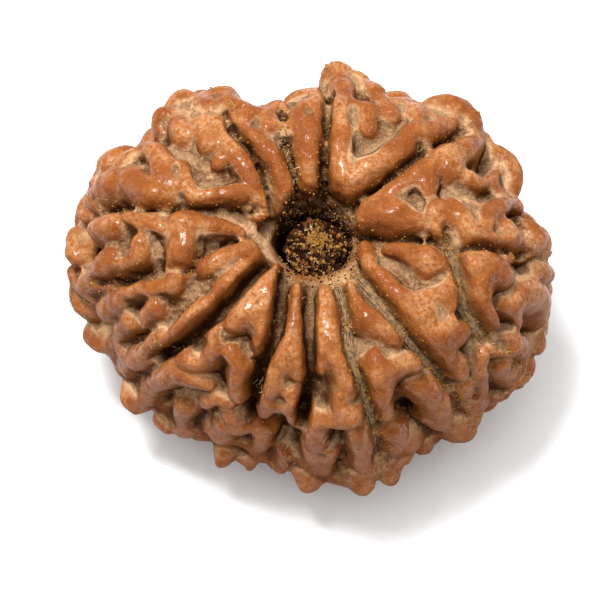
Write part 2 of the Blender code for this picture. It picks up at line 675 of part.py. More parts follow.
def pith_surface(azimuth, along):
    """Points of the pith: a column with a swollen, crumbly head, closed at both ends.

    Along runs from 0 at the bottom to 1 at the top. The radius is a superellipse of it, so the ends are
    blunt, widened towards the head and uneven by a sum of waves round it and up it.
    """
    height = PITH_BOTTOM + (PITH_TOP - PITH_BOTTOM) * along
    blunt = (1.0 - np.abs(2.0 * along - 1.0) ** BLUNTNESS) ** 0.5
    head = np.exp(-(((along - 1.0) / PITH_HEAD_SHARE) ** 2))
    waves = [np.sin(around * azimuth + up * along) for around, up in PITH_WAVES]
    lumps = PITH_LUMP * (sum(waves) / len(waves) - 1)
    radius = blunt * (PITH_RADIUS + (PITH_HEAD_RADIUS - PITH_RADIUS) * head + lumps)
    crumble = PITH_CRUMBLE * head * (np.sin(2 * azimuth) + np.cos(3 * azimuth + 1)) * (1 - blunt**2)
    x = CANAL_AT[0] + radius * np.cos(azimuth)
    y = CANAL_AT[1] + radius * np.sin(azimuth)
    return np.stack([x, y, height + crumble], axis=-1)


def make_pith(collection):
    """The dried pith: a crumbly column that stands in the canal, clear of its wall."""
    bpy.ops.mesh.primitive_uv_sphere_add(segments=PITH_SIDES, ring_count=PITH_RINGS, radius=1.0)
    pith = bpy.context.object
    pith.name = "pith"
    points = points_of(pith.data)
    azimuth = np.arctan2(points[:, 1], points[:, 0])
    along = np.arccos(np.clip(-points[:, 2], -1.0, 1.0)) / math.pi
    pith.data.vertices.foreach_set("co", pith_surface(azimuth, along).ravel())
    pith.data.update()
    move_to(pith, collection)
    return pith


def give_material(piece, name, colour, roughness):
    """A plain finish for the piece."""
    material = bpy.data.materials.new(name)
    material.use_nodes = True
    shader = material.node_tree.nodes["Principled BSDF"]
    shader.inputs["Base Color"].default_value = (*colour, 1.0)
    shader.inputs["Roughness"].default_value = roughness
    shader.inputs["Metallic"].default_value = 0.0
    piece.data.materials.clear()
    piece.data.materials.append(material)


def main():
    """Builds both pieces in millimetres and scales them to metres."""
    for old in list(bpy.data.objects):
        bpy.data.objects.remove(old)
    collection = bpy.data.collections.new("rudraksha_seed")
    cutters = bpy.data.collections.new("cutters")
    for group in (collection, cutters):
        bpy.context.scene.collection.children.link(group)
    stone = make_stone(collection, cutters)
    pith = make_pith(collection)
    give_material(stone, "oiled_stone", (0.45, 0.19, 0.07), 0.35)
    give_material(pith, "dry_pith", (0.42, 0.26, 0.12), 0.9)
    for piece in (stone, pith):
        piece.data.transform(Matrix.Scale(METRES_PER_MM, 4))
        piece.data.update()
    for cutter in cutters.objects:
        cutter.data.transform(Matrix.Scale(METRES_PER_MM, 4))
        cutter.location *= METRES_PER_MM


main()
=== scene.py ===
# %% [markdown]
# # The looks of a many-faced rudraksha stone
#
# The subject is the dried woody stone of a small forest fruit, about 30 mm long. It lies on one pole, and
# the camera looks down on the other, where a natural canal opens. Thirteen clefts run from the canal over
# the rim and part the faces. The faces carry round, branching ridges that end in knobs at the rim, waxy
# with oil on top and dusty in the hollows. The canal still holds its crumbly pith.
#
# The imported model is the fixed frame. Everything here is built round it, in the same place.

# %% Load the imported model
import itertools
import math
import random
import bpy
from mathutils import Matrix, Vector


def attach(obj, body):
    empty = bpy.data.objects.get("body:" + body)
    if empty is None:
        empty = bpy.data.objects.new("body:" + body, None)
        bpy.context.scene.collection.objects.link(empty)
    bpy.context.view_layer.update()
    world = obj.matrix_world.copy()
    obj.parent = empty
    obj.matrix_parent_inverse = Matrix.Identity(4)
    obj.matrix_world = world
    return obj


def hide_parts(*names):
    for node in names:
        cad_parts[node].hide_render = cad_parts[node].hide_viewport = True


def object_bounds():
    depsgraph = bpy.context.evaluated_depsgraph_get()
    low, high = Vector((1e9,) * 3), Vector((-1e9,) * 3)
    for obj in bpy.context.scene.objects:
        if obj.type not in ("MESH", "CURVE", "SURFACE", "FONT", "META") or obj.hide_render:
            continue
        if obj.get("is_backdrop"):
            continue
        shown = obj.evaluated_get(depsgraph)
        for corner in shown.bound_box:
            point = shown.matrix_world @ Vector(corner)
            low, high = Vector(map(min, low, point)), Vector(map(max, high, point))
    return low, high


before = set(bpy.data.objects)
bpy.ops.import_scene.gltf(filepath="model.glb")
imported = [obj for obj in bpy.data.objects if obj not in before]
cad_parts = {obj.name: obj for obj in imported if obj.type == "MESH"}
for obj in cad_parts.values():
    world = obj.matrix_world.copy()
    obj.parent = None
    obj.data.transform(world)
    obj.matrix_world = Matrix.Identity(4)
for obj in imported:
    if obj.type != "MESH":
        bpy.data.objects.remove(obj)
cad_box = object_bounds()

from types import SimpleNamespace

import bmesh
import bpy
import numpy as np
from mathutils import Vector
from mathutils.bvhtree import BVHTree

print("the packed solids:", sorted(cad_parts))

# %% [markdown]
# ## Sizes
#
# The stone is drawn in millimetres, because its ridges are about one millimetre thick, and each finished
# mesh is scaled to metres as it is made. The values of the bare body are those of the solid, so the fine
# stone keeps its form.

# %% Driving sizes, in millimetres
MM = 0.001
CANAL_AT = (0.2, 0.1)
THROAT_RADIUS = 1.9
BODY_HALF_HEIGHT = 8.5
BODY_CENTRE_HEIGHT = 9.75
OUTER_FULLNESS = 2.25
INNER_FULLNESS = 3.6
RIM_STANDOUT = 1.9
RIM_RADII = {
    0: 15.0, 18: 14.2, 38: 14.1, 60: 12.8, 85: 12.6, 104: 10.6, 122: 13.3, 137: 13.6, 154: 15.3,
    180: 15.2, 199: 13.7, 215: 13.0, 240: 11.9, 262: 11.8, 285: 13.3, 305: 12.6, 330: 14.3,
}
RIDGE_LIFT = 0.75
print("the bare body is", 2 * BODY_HALF_HEIGHT, "mm high")

# %% [markdown]
# ## The camera comes first
#
# The courses of the ridges were read from the photograph, so the view has to be settled before them. The
# photograph looks down from about 68 degrees above the floor, along +Y. Its pixels are 16.2 to a
# millimetre. A very long lens keeps the ridges near the camera and the knobs at the rim at one scale, so a
# pixel stands for a straight line through the stone.

# %% The view
PIXELS_PER_MM = 16.2
VIEW_CENTRE = (310.0, 280.0)
VIEW_ELEVATION = math.radians(68.0)
MIDDLE_HEIGHT = 10.0
PICTURE = 600
LENS = 600.0
SENSOR = 36.0
CLIP_START = 0.01
CLIP_END = 5.0
RIGHT = Vector((1.0, 0.0, 0.0))
UP = Vector((0.0, math.sin(VIEW_ELEVATION), math.cos(VIEW_ELEVATION)))
TOWARDS = Vector((0.0, -math.cos(VIEW_ELEVATION), math.sin(VIEW_ELEVATION)))


def in_view(x, y):
    """The point of the plane through the stone's middle, facing the camera, that shows at this pixel."""
    across = (x - VIEW_CENTRE[0]) / PIXELS_PER_MM
    above = (VIEW_CENTRE[1] - y) / PIXELS_PER_MM
    return Vector((0.0, 0.0, MIDDLE_HEIGHT)) + RIGHT * across + UP * above


def make_camera():
    """A camera so far off that the picture's width is its pixels divided by the pixels in a millimetre."""
    data = bpy.data.cameras.new("camera")
    data.lens = LENS
    data.sensor_width = SENSOR
    distance = LENS / SENSOR * PICTURE / PIXELS_PER_MM
    data.clip_start = CLIP_START
    data.clip_end = CLIP_END
    camera = bpy.data.objects.new("camera", data)
    camera.location = (in_view(PICTURE / 2, PICTURE / 2) + TOWARDS * distance) * MM
    camera.rotation_mode = "QUATERNION"
    camera.rotation_quaternion = (-TOWARDS).to_track_quat("-Z", "Y")
    bpy.context.scene.collection.objects.link(camera)
    bpy.context.scene.camera = camera
    return distance


print("camera at", round(make_camera()), "mm")

# %% [markdown]
# ## The bare body
#
# Without its ridges the stone is a thick ring round the canal. A ring is a function of two angles: the
# azimuth goes round the canal, and the turn goes round the ring's own section. The section is a
# superellipse, which is a circle whose squares are changed to another power: rounder at the rim, and
# squarer on the canal's side, so that the canal has a straight wall and a flared mouth.


# %% The body as a function of two angles
def signed_power(value, exponent):
    """The value's size raised to the exponent, with its own sign."""
    return np.sign(value) * np.abs(value) ** exponent


def rim_radius(azimuth):
    """The rim's distance from the canal: a cubic through the radii, with the slopes of their neighbours."""
    at = np.array(sorted(RIM_RADII), float)
    size = np.array([RIM_RADII[degrees] for degrees in sorted(RIM_RADII)])
    at = np.concatenate([at[-2:] - 360.0, at, at[:3] + 360.0])
    size = np.concatenate([size[-2:], size, size[:3]])
    degrees = np.degrees(azimuth) % 360.0
    left = np.clip(np.searchsorted(at, degrees, side="right") - 1, 1, len(at) - 3)
    run = at[left + 1] - at[left]
    share = (degrees - at[left]) / run
    slope_left = (size[left + 1] - size[left - 1]) / (at[left + 1] - at[left - 1])
    slope_right = (size[left + 2] - size[left]) / (at[left + 2] - at[left])
    cube, square = share**3, share**2
    return (
        (2 * cube - 3 * square + 1) * size[left]
        + (cube - 2 * square + share) * run * slope_left
        + (3 * square - 2 * cube) * size[left + 1]
        + (cube - square) * run * slope_right
    )


def on_body(azimuth, turn, lift=0.0):
    """Points at this lift above the body: a superellipse of the turn, carried round by the azimuth."""
    azimuth, turn = np.broadcast_arrays(np.asarray(azimuth, float), np.asarray(turn, float))
    rim = rim_radius(azimuth) - RIM_STANDOUT + lift
    middle = (rim + THROAT_RADIUS - lift) / 2
    half = (rim - THROAT_RADIUS + lift) / 2
    fullness = np.where(np.cos(turn) > 0, OUTER_FULLNESS, INNER_FULLNESS)
    reach = middle + half * signed_power(np.cos(turn), 2 / fullness)
    height = BODY_CENTRE_HEIGHT + (BODY_HALF_HEIGHT + lift) * signed_power(np.sin(turn), 2 / fullness)
    x = CANAL_AT[0] + reach * np.cos(azimuth)
    y = CANAL_AT[1] + reach * np.sin(azimuth)
    return np.stack([x, y, height], axis=-1)


def body_grid(lift, around=240, section=120):
    """A closed grid of points on the body at this lift, one row for each azimuth."""
    azimuth = np.linspace(0, 2 * np.pi, around, endpoint=False)[:, None]
    turn = np.linspace(0, 2 * np.pi, section, endpoint=False)[None]
    return on_body(azimuth, turn, lift)


bare = body_grid(0.0)
print("bare body", np.ptp(bare.reshape(-1, 3), axis=0).round(1), "mm")

# %% [markdown]
# ## Ways out of the body, and the faces of a grid
#
# Ridges, crumbs and clefts are all set by the way out of the body. For a ring that is the way from its
# middle line, the circle that runs inside it all round. A grid of points becomes a surface by one
# four-sided face between each point and its neighbours, whose corners are listed so that it faces
# outwards.

# %% Ways out and faces
TINY = 1e-9


def unit(rows):
    """Each row scaled to a length of one."""
    return rows / np.maximum(np.linalg.norm(rows, axis=-1, keepdims=True), TINY)


def from_canal(points):
    """Each point's distance from the canal's axis."""
    return np.hypot(points[:, 0] - CANAL_AT[0], points[:, 1] - CANAL_AT[1])


def azimuths(points):
    """Each point's direction from the canal, in radians."""
    return np.arctan2(points[:, 1] - CANAL_AT[1], points[:, 0] - CANAL_AT[0])


def outwards(points):
    """The way out of the body at each point: away from the middle line of the ring."""
    azimuth = azimuths(points)
    middle = (rim_radius(azimuth) - RIM_STANDOUT + THROAT_RADIUS) / 2
    x = CANAL_AT[0] + middle * np.cos(azimuth)
    y = CANAL_AT[1] + middle * np.sin(azimuth)
    return unit(points - np.stack([x, y, np.full(len(points), BODY_CENTRE_HEIGHT)], axis=1))


def grid_faces(rows, columns, close_rows, start=0):
    """The quads of a grid whose columns close on themselves, and whose rows do so where asked."""
    row = np.arange(rows if close_rows else rows - 1)[:, None]
    column = np.arange(columns)[None]
    here = row * columns + column
    after = row * columns + (column + 1) % columns
    above = (row + 1) % rows * columns
    quads = np.stack([here, after, above + (column + 1) % columns, above + column], axis=-1)
    return quads.reshape(-1, 4)[:, ::-1] + start


print("the bare body has", len(grid_faces(*bare.shape[:2], True)), "faces")

# %% [markdown]
# ## The clefts and ridges that the view shows
#
# Each course below follows one cleft or ridge, as pixels of the view, with the ridge's radius in
# millimetres at each point. The courses are grouped by face, and a face is named for the clefts at its
# sides, which go clockwise from the notch at the top.

# %% The clefts
CLEFTS = {
    "A": [(293, 214), (296, 196), (291, 170), (288, 150), (284, 128), (284, 112)],
    "B": [(322, 203), (323, 180), (325, 150), (327, 128), (329, 105), (326, 88)],
    "C": [(362, 202), (380, 190), (405, 170), (425, 155), (445, 145), (470, 133), (490, 128)],
    "D": [(352, 243), (375, 241), (400, 241), (425, 243), (449, 252), (475, 252), (500, 256), (540, 262)],
    "D2": [(449, 256), (457, 285), (462, 308), (476, 328), (490, 345), (497, 358), (505, 385)],
    "E": [(360, 282), (375, 300), (395, 325), (415, 350), (435, 372), (450, 392), (462, 415)],
    "F": [(338, 290), (345, 315), (347, 345), (355, 370), (365, 400), (372, 420), (378, 440), (380, 475)],
    "G": [(310, 290), (309, 320), (310, 350), (311, 375), (305, 400), (303, 420), (302, 440), (296, 472)],
    "H": [(284, 285), (281, 310), (278, 335), (268, 355), (260, 375), (256, 400), (252, 420), (238, 465)],
    "I": [(258, 276), (245, 290), (225, 310), (205, 328), (190, 340), (172, 352), (155, 370), (146, 392)],
    "J": [(248, 243), (225, 249), (205, 258), (190, 275), (160, 272), (135, 279), (113, 287), (85, 303)],
    "K": [(247, 214), (225, 212), (200, 212), (170, 214), (145, 215), (125, 211), (100, 208), (80, 210)],
    "L": [(266, 208), (266, 190), (258, 170), (245, 150), (235, 138), (228, 125), (215, 95)],
}

print(len(CLEFTS), "clefts")

# %% [markdown]
# ## The ridges and knobs, face by face
#
# A long ridge is a row of points that bends with it, and a knob is two points close together. Each point
# is three numbers: how far across, how far down, and how thick. The courses were read one ridge at a
# time, so they also say which ridges grow into each other and which end in a knob.

# %% Courses of the ridges and knobs
FACE_K_L = [
    [(111, 165, 0.6), (124, 156, 0.6)],
    [(128, 164, 0.55), (140, 154, 0.55), (150, 153, 0.55), (160, 160, 0.55), (166, 180, 0.55)],
    [(100, 195, 0.7), (117, 184, 0.7)],
    [(134, 180, 0.7), (146, 188, 0.75), (160, 198, 0.75)],
    [(94, 184, 0.35), (99, 186, 0.35)],
    [(91, 201, 0.45), (98, 205, 0.45)],
    [(84, 215, 0.4), (92, 217, 0.4)],
    [(117, 178, 0.3), (122, 172, 0.3)],
    [(163, 152, 0.25), (174, 165, 0.25)],
    [(185, 164, 0.3), (189, 177, 0.3)],
    [(163, 115, 0.55), (160, 125, 0.55), (163, 133, 0.55)],
    [(178, 111, 0.8), (180, 122, 0.8), (187, 138, 0.75)],
    [(181, 99, 0.45), (188, 98, 0.45)],
    [(202, 101, 0.6), (210, 112, 0.6)],
    [(204, 126, 0.6), (210, 146, 0.6)],
    [(219, 122, 0.55), (222, 135, 0.5)],
    [(229, 146, 0.5), (236, 158, 0.6), (248, 172, 0.75), (258, 190, 0.7), (263, 210, 0.5)],
    [(228, 150, 0.35), (220, 165, 0.35)],
    [(243, 196, 0.55), (222, 196, 0.55), (206, 199, 0.5)],
    [(177, 187, 0.35), (190, 188, 0.4), (194, 199, 0.35)],
]
FACE_L_A = [
    [(218, 97, 0.5), (227, 95, 0.5)],
    [(231, 105, 0.5), (246, 113, 0.5), (240, 122, 0.45)],
    [(228, 101, 0.55), (231, 117, 0.5)],
    [(245, 122, 0.5), (260, 118, 0.5), (269, 130, 0.5)],
    [(262, 113, 0.35), (272, 122, 0.35)],
    [(251, 139, 0.55), (266, 151, 0.55), (277, 165, 0.55), (284, 183, 0.5), (283, 205, 0.6)],
]
FACE_A_B = [
    [(276, 110, 0.55), (281, 128, 0.55)],
    [(294, 98, 0.55), (312, 96, 0.55)],
    [(312, 91, 0.35), (318, 100, 0.35)],
    [(294, 128, 0.55), (303, 115, 0.55), (316, 106, 0.5), (323, 117, 0.5)],
    [(309, 134, 0.75), (309, 149, 0.8), (308, 167, 0.6), (309, 185, 0.45)],
]
FACE_B_C = [
    [(338, 72, 0.65), (341, 85, 0.7), (345, 92, 0.6)],
    [(358, 77, 0.35), (368, 84, 0.35)],
    [(331, 95, 0.35), (331, 104, 0.35)],
    [(344, 97, 0.5), (342, 112, 0.5)],
    [(354, 108, 0.4), (363, 115, 0.4)],
    [(365, 116, 0.55), (368, 130, 0.5)],
    [(340, 120, 0.5), (341, 140, 0.75), (341, 163, 0.85), (345, 180, 0.8)],
    [(347, 183, 0.75), (365, 172, 0.75), (385, 160, 0.7), (398, 150, 0.6)],
    [(352, 88, 0.5), (368, 90, 0.55), (380, 105, 0.55), (390, 118, 0.5)],
    [(395, 109, 0.5), (410, 109, 0.55), (414, 120, 0.5)],
    [(423, 118, 0.4), (427, 121, 0.4)],
    [(403, 145, 0.55), (411, 134, 0.6), (429, 132, 0.6), (438, 126, 0.55)],
    [(436, 109, 0.65), (452, 109, 0.7), (465, 117, 0.65)],
    [(446, 127, 0.55), (456, 125, 0.6), (472, 123, 0.6)],
]
FACE_C_D = [
    [(366, 207, 0.45), (394, 192, 0.5), (418, 178, 0.55), (426, 170, 0.55)],
    [(425, 172, 0.55), (427, 192, 0.5)],
    [(362, 222, 0.5), (378, 215, 0.8), (396, 216, 0.8), (413, 223, 0.55)],
    [(435, 213, 0.75), (438, 236, 0.7)],
    [(443, 214, 0.4), (448, 217, 0.4)],
    [(444, 156, 0.65), (447, 172, 0.65)],
    [(455, 158, 0.6), (464, 151, 0.6), (476, 141, 0.6)],
    [(484, 138, 0.4), (487, 150, 0.4)],
    [(498, 155, 0.6), (510, 166, 0.65), (511, 179, 0.65), (505, 189, 0.55)],
    [(490, 186, 0.45), (494, 170, 0.4)],
    [(490, 186, 0.5), (500, 196, 0.45)],
    [(490, 186, 0.45), (478, 185, 0.4), (466, 180, 0.45)],
    [(460, 218, 0.6), (469, 231, 0.65), (474, 240, 0.6)],
    [(474, 243, 0.5), (490, 245, 0.5)],
    [(483, 227, 0.5), (490, 213, 0.5), (499, 207, 0.45), (507, 204, 0.4), (517, 207, 0.4)],
    [(458, 218, 0.4), (454, 209, 0.35)],
    [(449, 201, 0.3), (457, 214, 0.3)],
    [(503, 231, 0.7), (509, 243, 0.75)],
    [(529, 230, 0.55), (535, 240, 0.55)],
    [(522, 248, 0.45), (536, 253, 0.45)],
    [(532, 271, 0.5), (549, 276, 0.5)],
]
FACE_D_D2 = [
    [(463, 266, 0.7), (482, 267, 0.85), (503, 276, 0.55)],
    [(478, 280, 0.75), (480, 299, 0.5), (487, 318, 0.5), (492, 327, 0.5)],
    [(513, 295, 0.75), (528, 295, 0.85), (536, 307, 0.8), (532, 320, 0.55)],
    [(501, 303, 0.35), (516, 322, 0.35)],
    [(497, 345, 0.6), (508, 341, 0.7), (518, 348, 0.65)],
    [(536, 336, 0.5), (538, 345, 0.5)],
    [(526, 362, 0.5), (520, 378, 0.55)],
    [(498, 362, 0.6), (505, 380, 0.6), (500, 395, 0.5)],
]
FACE_D2_E = [
    [(386, 247, 0.35), (404, 252, 0.5), (424, 261, 0.8), (439, 262, 0.55)],
    [(364, 248, 0.5), (368, 266, 0.5), (384, 281, 0.55), (400, 300, 0.6), (416, 308, 0.8), (424, 314, 0.7)],
    [(416, 304, 0.55), (429, 297, 0.55), (443, 292, 0.55), (450, 286, 0.5)],
    [(443, 302, 0.5), (447, 305, 0.5)],
    [(438, 333, 0.8), (463, 331, 0.45)],
    [(438, 333, 0.7), (442, 348, 0.5), (446, 362, 0.45)],
    [(425, 326, 0.5), (438, 330, 0.7), (447, 321, 0.5)],
    [(458, 358, 0.3), (457, 374, 0.5)],
    [(462, 386, 0.45), (464, 395, 0.45)],
    [(471, 404, 0.5), (473, 417, 0.5)],
    [(465, 417, 0.5), (467, 433, 0.5)],
    [(480, 352, 0.4), (478, 375, 0.45), (482, 392, 0.45)],
]
FACE_E_F = [
    [(348, 285, 0.35), (354, 300, 0.5), (362, 316, 0.7), (378, 326, 0.7), (390, 335, 0.55)],
    [(375, 355, 0.5), (378, 368, 0.7), (392, 364, 0.6), (412, 361, 0.45)],
    [(376, 368, 0.7), (380, 390, 0.55), (385, 414, 0.55)],
    [(390, 428, 0.6), (397, 432, 0.7), (394, 445, 0.6)],
    [(398, 454, 0.5), (405, 455, 0.5)],
    [(390, 465, 0.5), (390, 480, 0.5)],
    [(411, 381, 0.55), (425, 386, 0.75), (438, 404, 0.75), (441, 415, 0.55)],
    [(425, 417, 0.35), (443, 422, 0.5), (454, 433, 0.6)],
    [(422, 438, 0.5), (424, 450, 0.5)],
]
FACE_F_G = [
    [(325, 293, 0.5), (325, 305, 0.6), (326, 318, 0.65), (331, 338, 0.65), (342, 363, 0.55), (347, 381, 0.6)],
    [(322, 340, 0.45), (321, 357, 0.5), (321, 367, 0.45)],
    [(346, 385, 0.55), (342, 400, 0.45), (349, 411, 0.7)],
    [(349, 411, 0.7), (338, 416, 0.5), (323, 417, 0.4)],
    [(317, 420, 0.55), (315, 432, 0.55), (318, 444, 0.55)],
    [(313, 448, 0.55), (316, 470, 0.75), (305, 485, 0.5)],
    [(333, 452, 0.4), (322, 470, 0.4), (306, 484, 0.4)],
    [(358, 429, 0.55), (361, 444, 0.55), (364, 466, 0.55)],
    [(357, 479, 0.6), (363, 488, 0.6)],
]
FACE_G_H = [
    [(299, 285, 0.35), (296, 300, 0.5), (293, 318, 0.55), (293, 338, 0.7), (299, 360, 0.6), (303, 372, 0.45)],
    [(287, 352, 0.5), (280, 364, 0.55), (275, 384, 0.6), (267, 405, 0.5), (264, 415, 0.4)],
    [(291, 390, 0.55), (299, 404, 0.7), (297, 422, 0.45)],
    [(277, 404, 0.4), (286, 400, 0.35)],
    [(258, 425, 0.5), (262, 435, 0.55), (251, 450, 0.5), (245, 467, 0.55)],
    [(286, 452, 0.5), (287, 463, 0.5)],
    [(270, 455, 0.4), (280, 470, 0.4)],
]
FACE_H_I = [
    [(276, 268, 0.5), (274, 290, 0.7), (270, 312, 0.75), (268, 330, 0.6), (262, 345, 0.5)],
    [(270, 290, 0.7), (255, 303, 0.75), (242, 316, 0.6), (233, 324, 0.5)],
    [(215, 330, 0.4), (216, 345, 0.45), (208, 358, 0.5), (197, 361, 0.55), (184, 357, 0.45)],
    [(232, 350, 0.5), (240, 362, 0.55), (242, 376, 0.6), (243, 392, 0.7)],
    [(205, 404, 0.45), (210, 398, 0.45), (220, 396, 0.45), (228, 400, 0.4)],
    [(228, 408, 0.45), (240, 423, 0.6)],
    [(226, 420, 0.65), (224, 433, 0.65), (230, 450, 0.5)],
    [(222, 445, 0.5), (219, 464, 0.5)],
    [(209, 383, 0.4), (196, 377, 0.5), (176, 370, 0.65), (160, 381, 0.65), (144, 398, 0.5)],
    [(130, 386, 0.55), (134, 398, 0.55)],
    [(185, 403, 0.6), (185, 425, 0.75)],
    [(156, 418, 0.4), (165, 430, 0.4)],
    [(125, 402, 0.4), (135, 410, 0.4)],
]
FACE_I_J = [
    [(262, 258, 0.4), (243, 274, 0.5), (226, 291, 0.6), (207, 309, 0.7), (190, 323, 0.55), (178, 333, 0.5)],
    [(165, 335, 0.5), (155, 344, 0.5), (148, 352, 0.55), (138, 358, 0.7), (129, 366, 0.8)],
    [(250, 248, 0.5), (228, 257, 0.5), (208, 266, 0.5)],
    [(178, 286, 0.4), (160, 288, 0.4), (140, 289, 0.4), (125, 294, 0.4)],
    [(108, 308, 0.7), (122, 301, 0.5)],
    [(88, 335, 0.5), (100, 342, 0.5)],
    [(132, 322, 0.5), (120, 334, 0.45), (112, 346, 0.5)],
    [(160, 308, 0.5), (146, 318, 0.45)],
]
FACE_J_K = [
    [(243, 233, 0.35), (222, 230, 0.45), (203, 227, 0.55), (186, 227, 0.75)],
    [(186, 228, 0.75), (185, 245, 0.7), (181, 260, 0.55), (182, 272, 0.6)],
    [(133, 218, 0.45), (150, 222, 0.5), (165, 228, 0.35)],
    [(98, 228, 0.7), (118, 225, 0.7)],
    [(142, 244, 0.55), (138, 257, 0.55), (123, 265, 0.4)],
    [(114, 258, 0.55), (104, 271, 0.75), (92, 286, 0.6)],
    [(76, 237, 0.5), (72, 256, 0.5)],
    [(71, 270, 0.4), (72, 276, 0.4)],
    [(75, 290, 0.5), (80, 303, 0.5), (90, 312, 0.5)],
    [(93, 321, 0.3), (96, 325, 0.3)],
]
FACES = [
    FACE_K_L, FACE_L_A, FACE_A_B, FACE_B_C, FACE_C_D, FACE_D_D2, FACE_D2_E,
    FACE_E_F, FACE_F_G, FACE_G_H, FACE_H_I, FACE_I_J, FACE_J_K,
]
print(len(FACES), "faces between the clefts")

# %% [markdown]
# ## From a pixel to a place on the stone
#
# A pixel is a straight line of sight. Where that line meets the body, raised by half a ridge, is where the
# ridge's middle goes. A knob that stands out past the body's outline has no such point, so it takes the
# nearest one inside the outline and is moved out by the difference.

# %% Lines of sight
CAMERA_SIDE = 60.0
INWARD_SHARES = np.arange(0.0, 0.3, 0.01)
MOUTH_PIXEL = (313, 243)


def tree_of(grid):
    """The faces of a closed grid of points, ready for rays."""
    rows, columns = grid.shape[:2]
    return BVHTree.FromPolygons(grid.reshape(-1, 3).tolist(), grid_faces(rows, columns, True).tolist())


def sighted(tree, aim):
    """Where the line of sight through this point meets the surface, or nothing where it passes by."""
    return tree.ray_cast(aim + TOWARDS * CAMERA_SIDE, -TOWARDS)[0]


def behind_pixel(tree, x, y):
    """The body's point that shows at this pixel. Past the outline it stands level with the outline."""
    aim = in_view(x, y)
    centre = in_view(*VIEW_CENTRE)
    for share in INWARD_SHARES:
        inner = aim.lerp(centre, share)
        hit = sighted(tree, inner)
        if hit:
            return hit + (aim - inner)
    return aim


raised_tree = tree_of(body_grid(RIDGE_LIFT))
bare_tree = tree_of(bare)
print("the canal's mouth is at", behind_pixel(raised_tree, *MOUTH_PIXEL))

# %% [markdown]
# ## Smooth courses
#
# A few points make a smooth curve by the Catmull-Rom formula, which passes through every point and leaves
# it in the direction of its neighbours. The radius runs evenly from point to point, and closes each end in
# a half ball: at a height h above the end it is the radius times the cosine whose sine is h.

# %% A course and its radii
COURSE_STEP = 0.25
TIP_ANGLES = np.radians([90, 72, 54, 36, 18])
TIP_STEPS = len(TIP_ANGLES)


def catmull_rom(a, b, c, d, share):
    """The curve between b and c: a cubic of the share, with half of c - a and of d - b as its slopes."""
    square, cube = share**2, share**3
    curve = b + (c - a) / 2 * share + (a - 2.5 * b + 2 * c - d / 2) * square
    return curve + (1.5 * (b - c) + (d - a) / 2) * cube


def rounded_course(points, radii):
    """A smooth course through the points, with its radius at each step, closed to nothing at both ends."""
    points = np.array(points, float)
    radii = np.array(radii, float)
    padded = np.vstack([2 * points[0] - points[1], points, 2 * points[-1] - points[-2]])
    course = []
    thickness = []
    for i in range(len(points) - 1):
        a, b, c, d = padded[i : i + 4]
        share = np.arange(max(2, int(np.linalg.norm(c - b) / COURSE_STEP)))[:, None]
        share = share / len(share)
        course.append(catmull_rom(a, b, c, d, share))
        thickness.append(radii[i] + (radii[i + 1] - radii[i]) * share[:, 0])
    return with_tips(np.vstack(course + [points[-1:]]), np.concatenate(thickness + [radii[-1:]]))


def with_tips(course, thickness):
    """The course and its radii with a half ball's steps added at both ends."""
    first = (course[0] - course[1]) / np.linalg.norm(course[0] - course[1])
    last = (course[-1] - course[-2]) / np.linalg.norm(course[-1] - course[-2])
    climb = np.sin(TIP_ANGLES)[:, None]
    shrink = np.cos(TIP_ANGLES)
    start = course[0] + first * thickness[0] * climb
    end = course[-1] + last * thickness[-1] * climb[::-1]
    radii = [thickness[0] * shrink, thickness, thickness[-1] * shrink[::-1]]
    return np.vstack([start, course, end]), np.concatenate(radii)


def shown_courses():
    """The ridges that the view shows."""
    courses = []
    for ridge in itertools.chain(*FACES):
        points = [behind_pixel(raised_tree, x, y) for x, y, _ in ridge]
        courses.append(rounded_course(points, [radius for _, _, radius in ridge]))
    return courses


shown = shown_courses()
print(len(shown), "ridges and knobs read from the view")

# %% [markdown]
# ## The hidden sides
#
# The photograph shows nothing below the rim, so a rule carries the pattern on, down to the lower pole.
# First it needs to know where the view ends on each side: the side towards the camera shows more of itself
# than the side that faces away.

# %% Where the view ends
POLE_TURN = -128.0
UNDER_RIDGE_TURN = -62.0
VIEW_MARGIN = 4.0


def hidden_from(azimuth):
    """The turn in degrees at which the side of the body passes out of the view."""
    return math.degrees(math.pi / 2 - VIEW_ELEVATION) * math.sin(azimuth) - VIEW_MARGIN


def azimuth_of(point):
    """The direction of a point from the canal, in radians."""
    return math.atan2(point[1] - CANAL_AT[1], point[0] - CANAL_AT[0])


for side in (-90, 90):
    print("at", side, "degrees the view ends at a turn of", round(hidden_from(math.radians(side)), 1))

# %% [markdown]
# ## The wedges round the lower pole
#
# By the rule a face starts at the lower pole as one wedge and parts into two ridges, which run along its
# two clefts. The random draws come from one seeded source, so each run gives the same stone.

# %% Ridges that part from a wedge
FAR_SIDE_SEED = 12
FAR_RADIUS = 0.62
UNDER_RIDGE_JITTER = 8.0
UNDER_SPREAD = np.array([0.0, 0.05, 0.13, 0.2, 0.25, 0.27])
UNDER_THICKNESS = np.array([0.8, 1.1, 1.2, 1.1, 1.1, 1.25])
UNDER_WANDER = 0.04


def under_ridges(draw, start, end):
    """Two ridges that leave the lower pole as one wedge and part to run along a face's two clefts."""
    courses = []
    for side in (-1, 1):
        top = UNDER_RIDGE_TURN + draw.uniform(-UNDER_RIDGE_JITTER, UNDER_RIDGE_JITTER)
        turns = np.linspace(POLE_TURN, top, len(UNDER_SPREAD))
        share = 0.5 + side * UNDER_SPREAD
        wander = np.array([0.0] + [draw.uniform(-UNDER_WANDER, UNDER_WANDER) for _ in UNDER_SPREAD[1:]])
        azimuth = np.radians(start + (end - start) * share) + wander
        points = on_body(azimuth, np.radians(turns), RIDGE_LIFT)
        courses.append(rounded_course(points, FAR_RADIUS * UNDER_THICKNESS))
    return courses


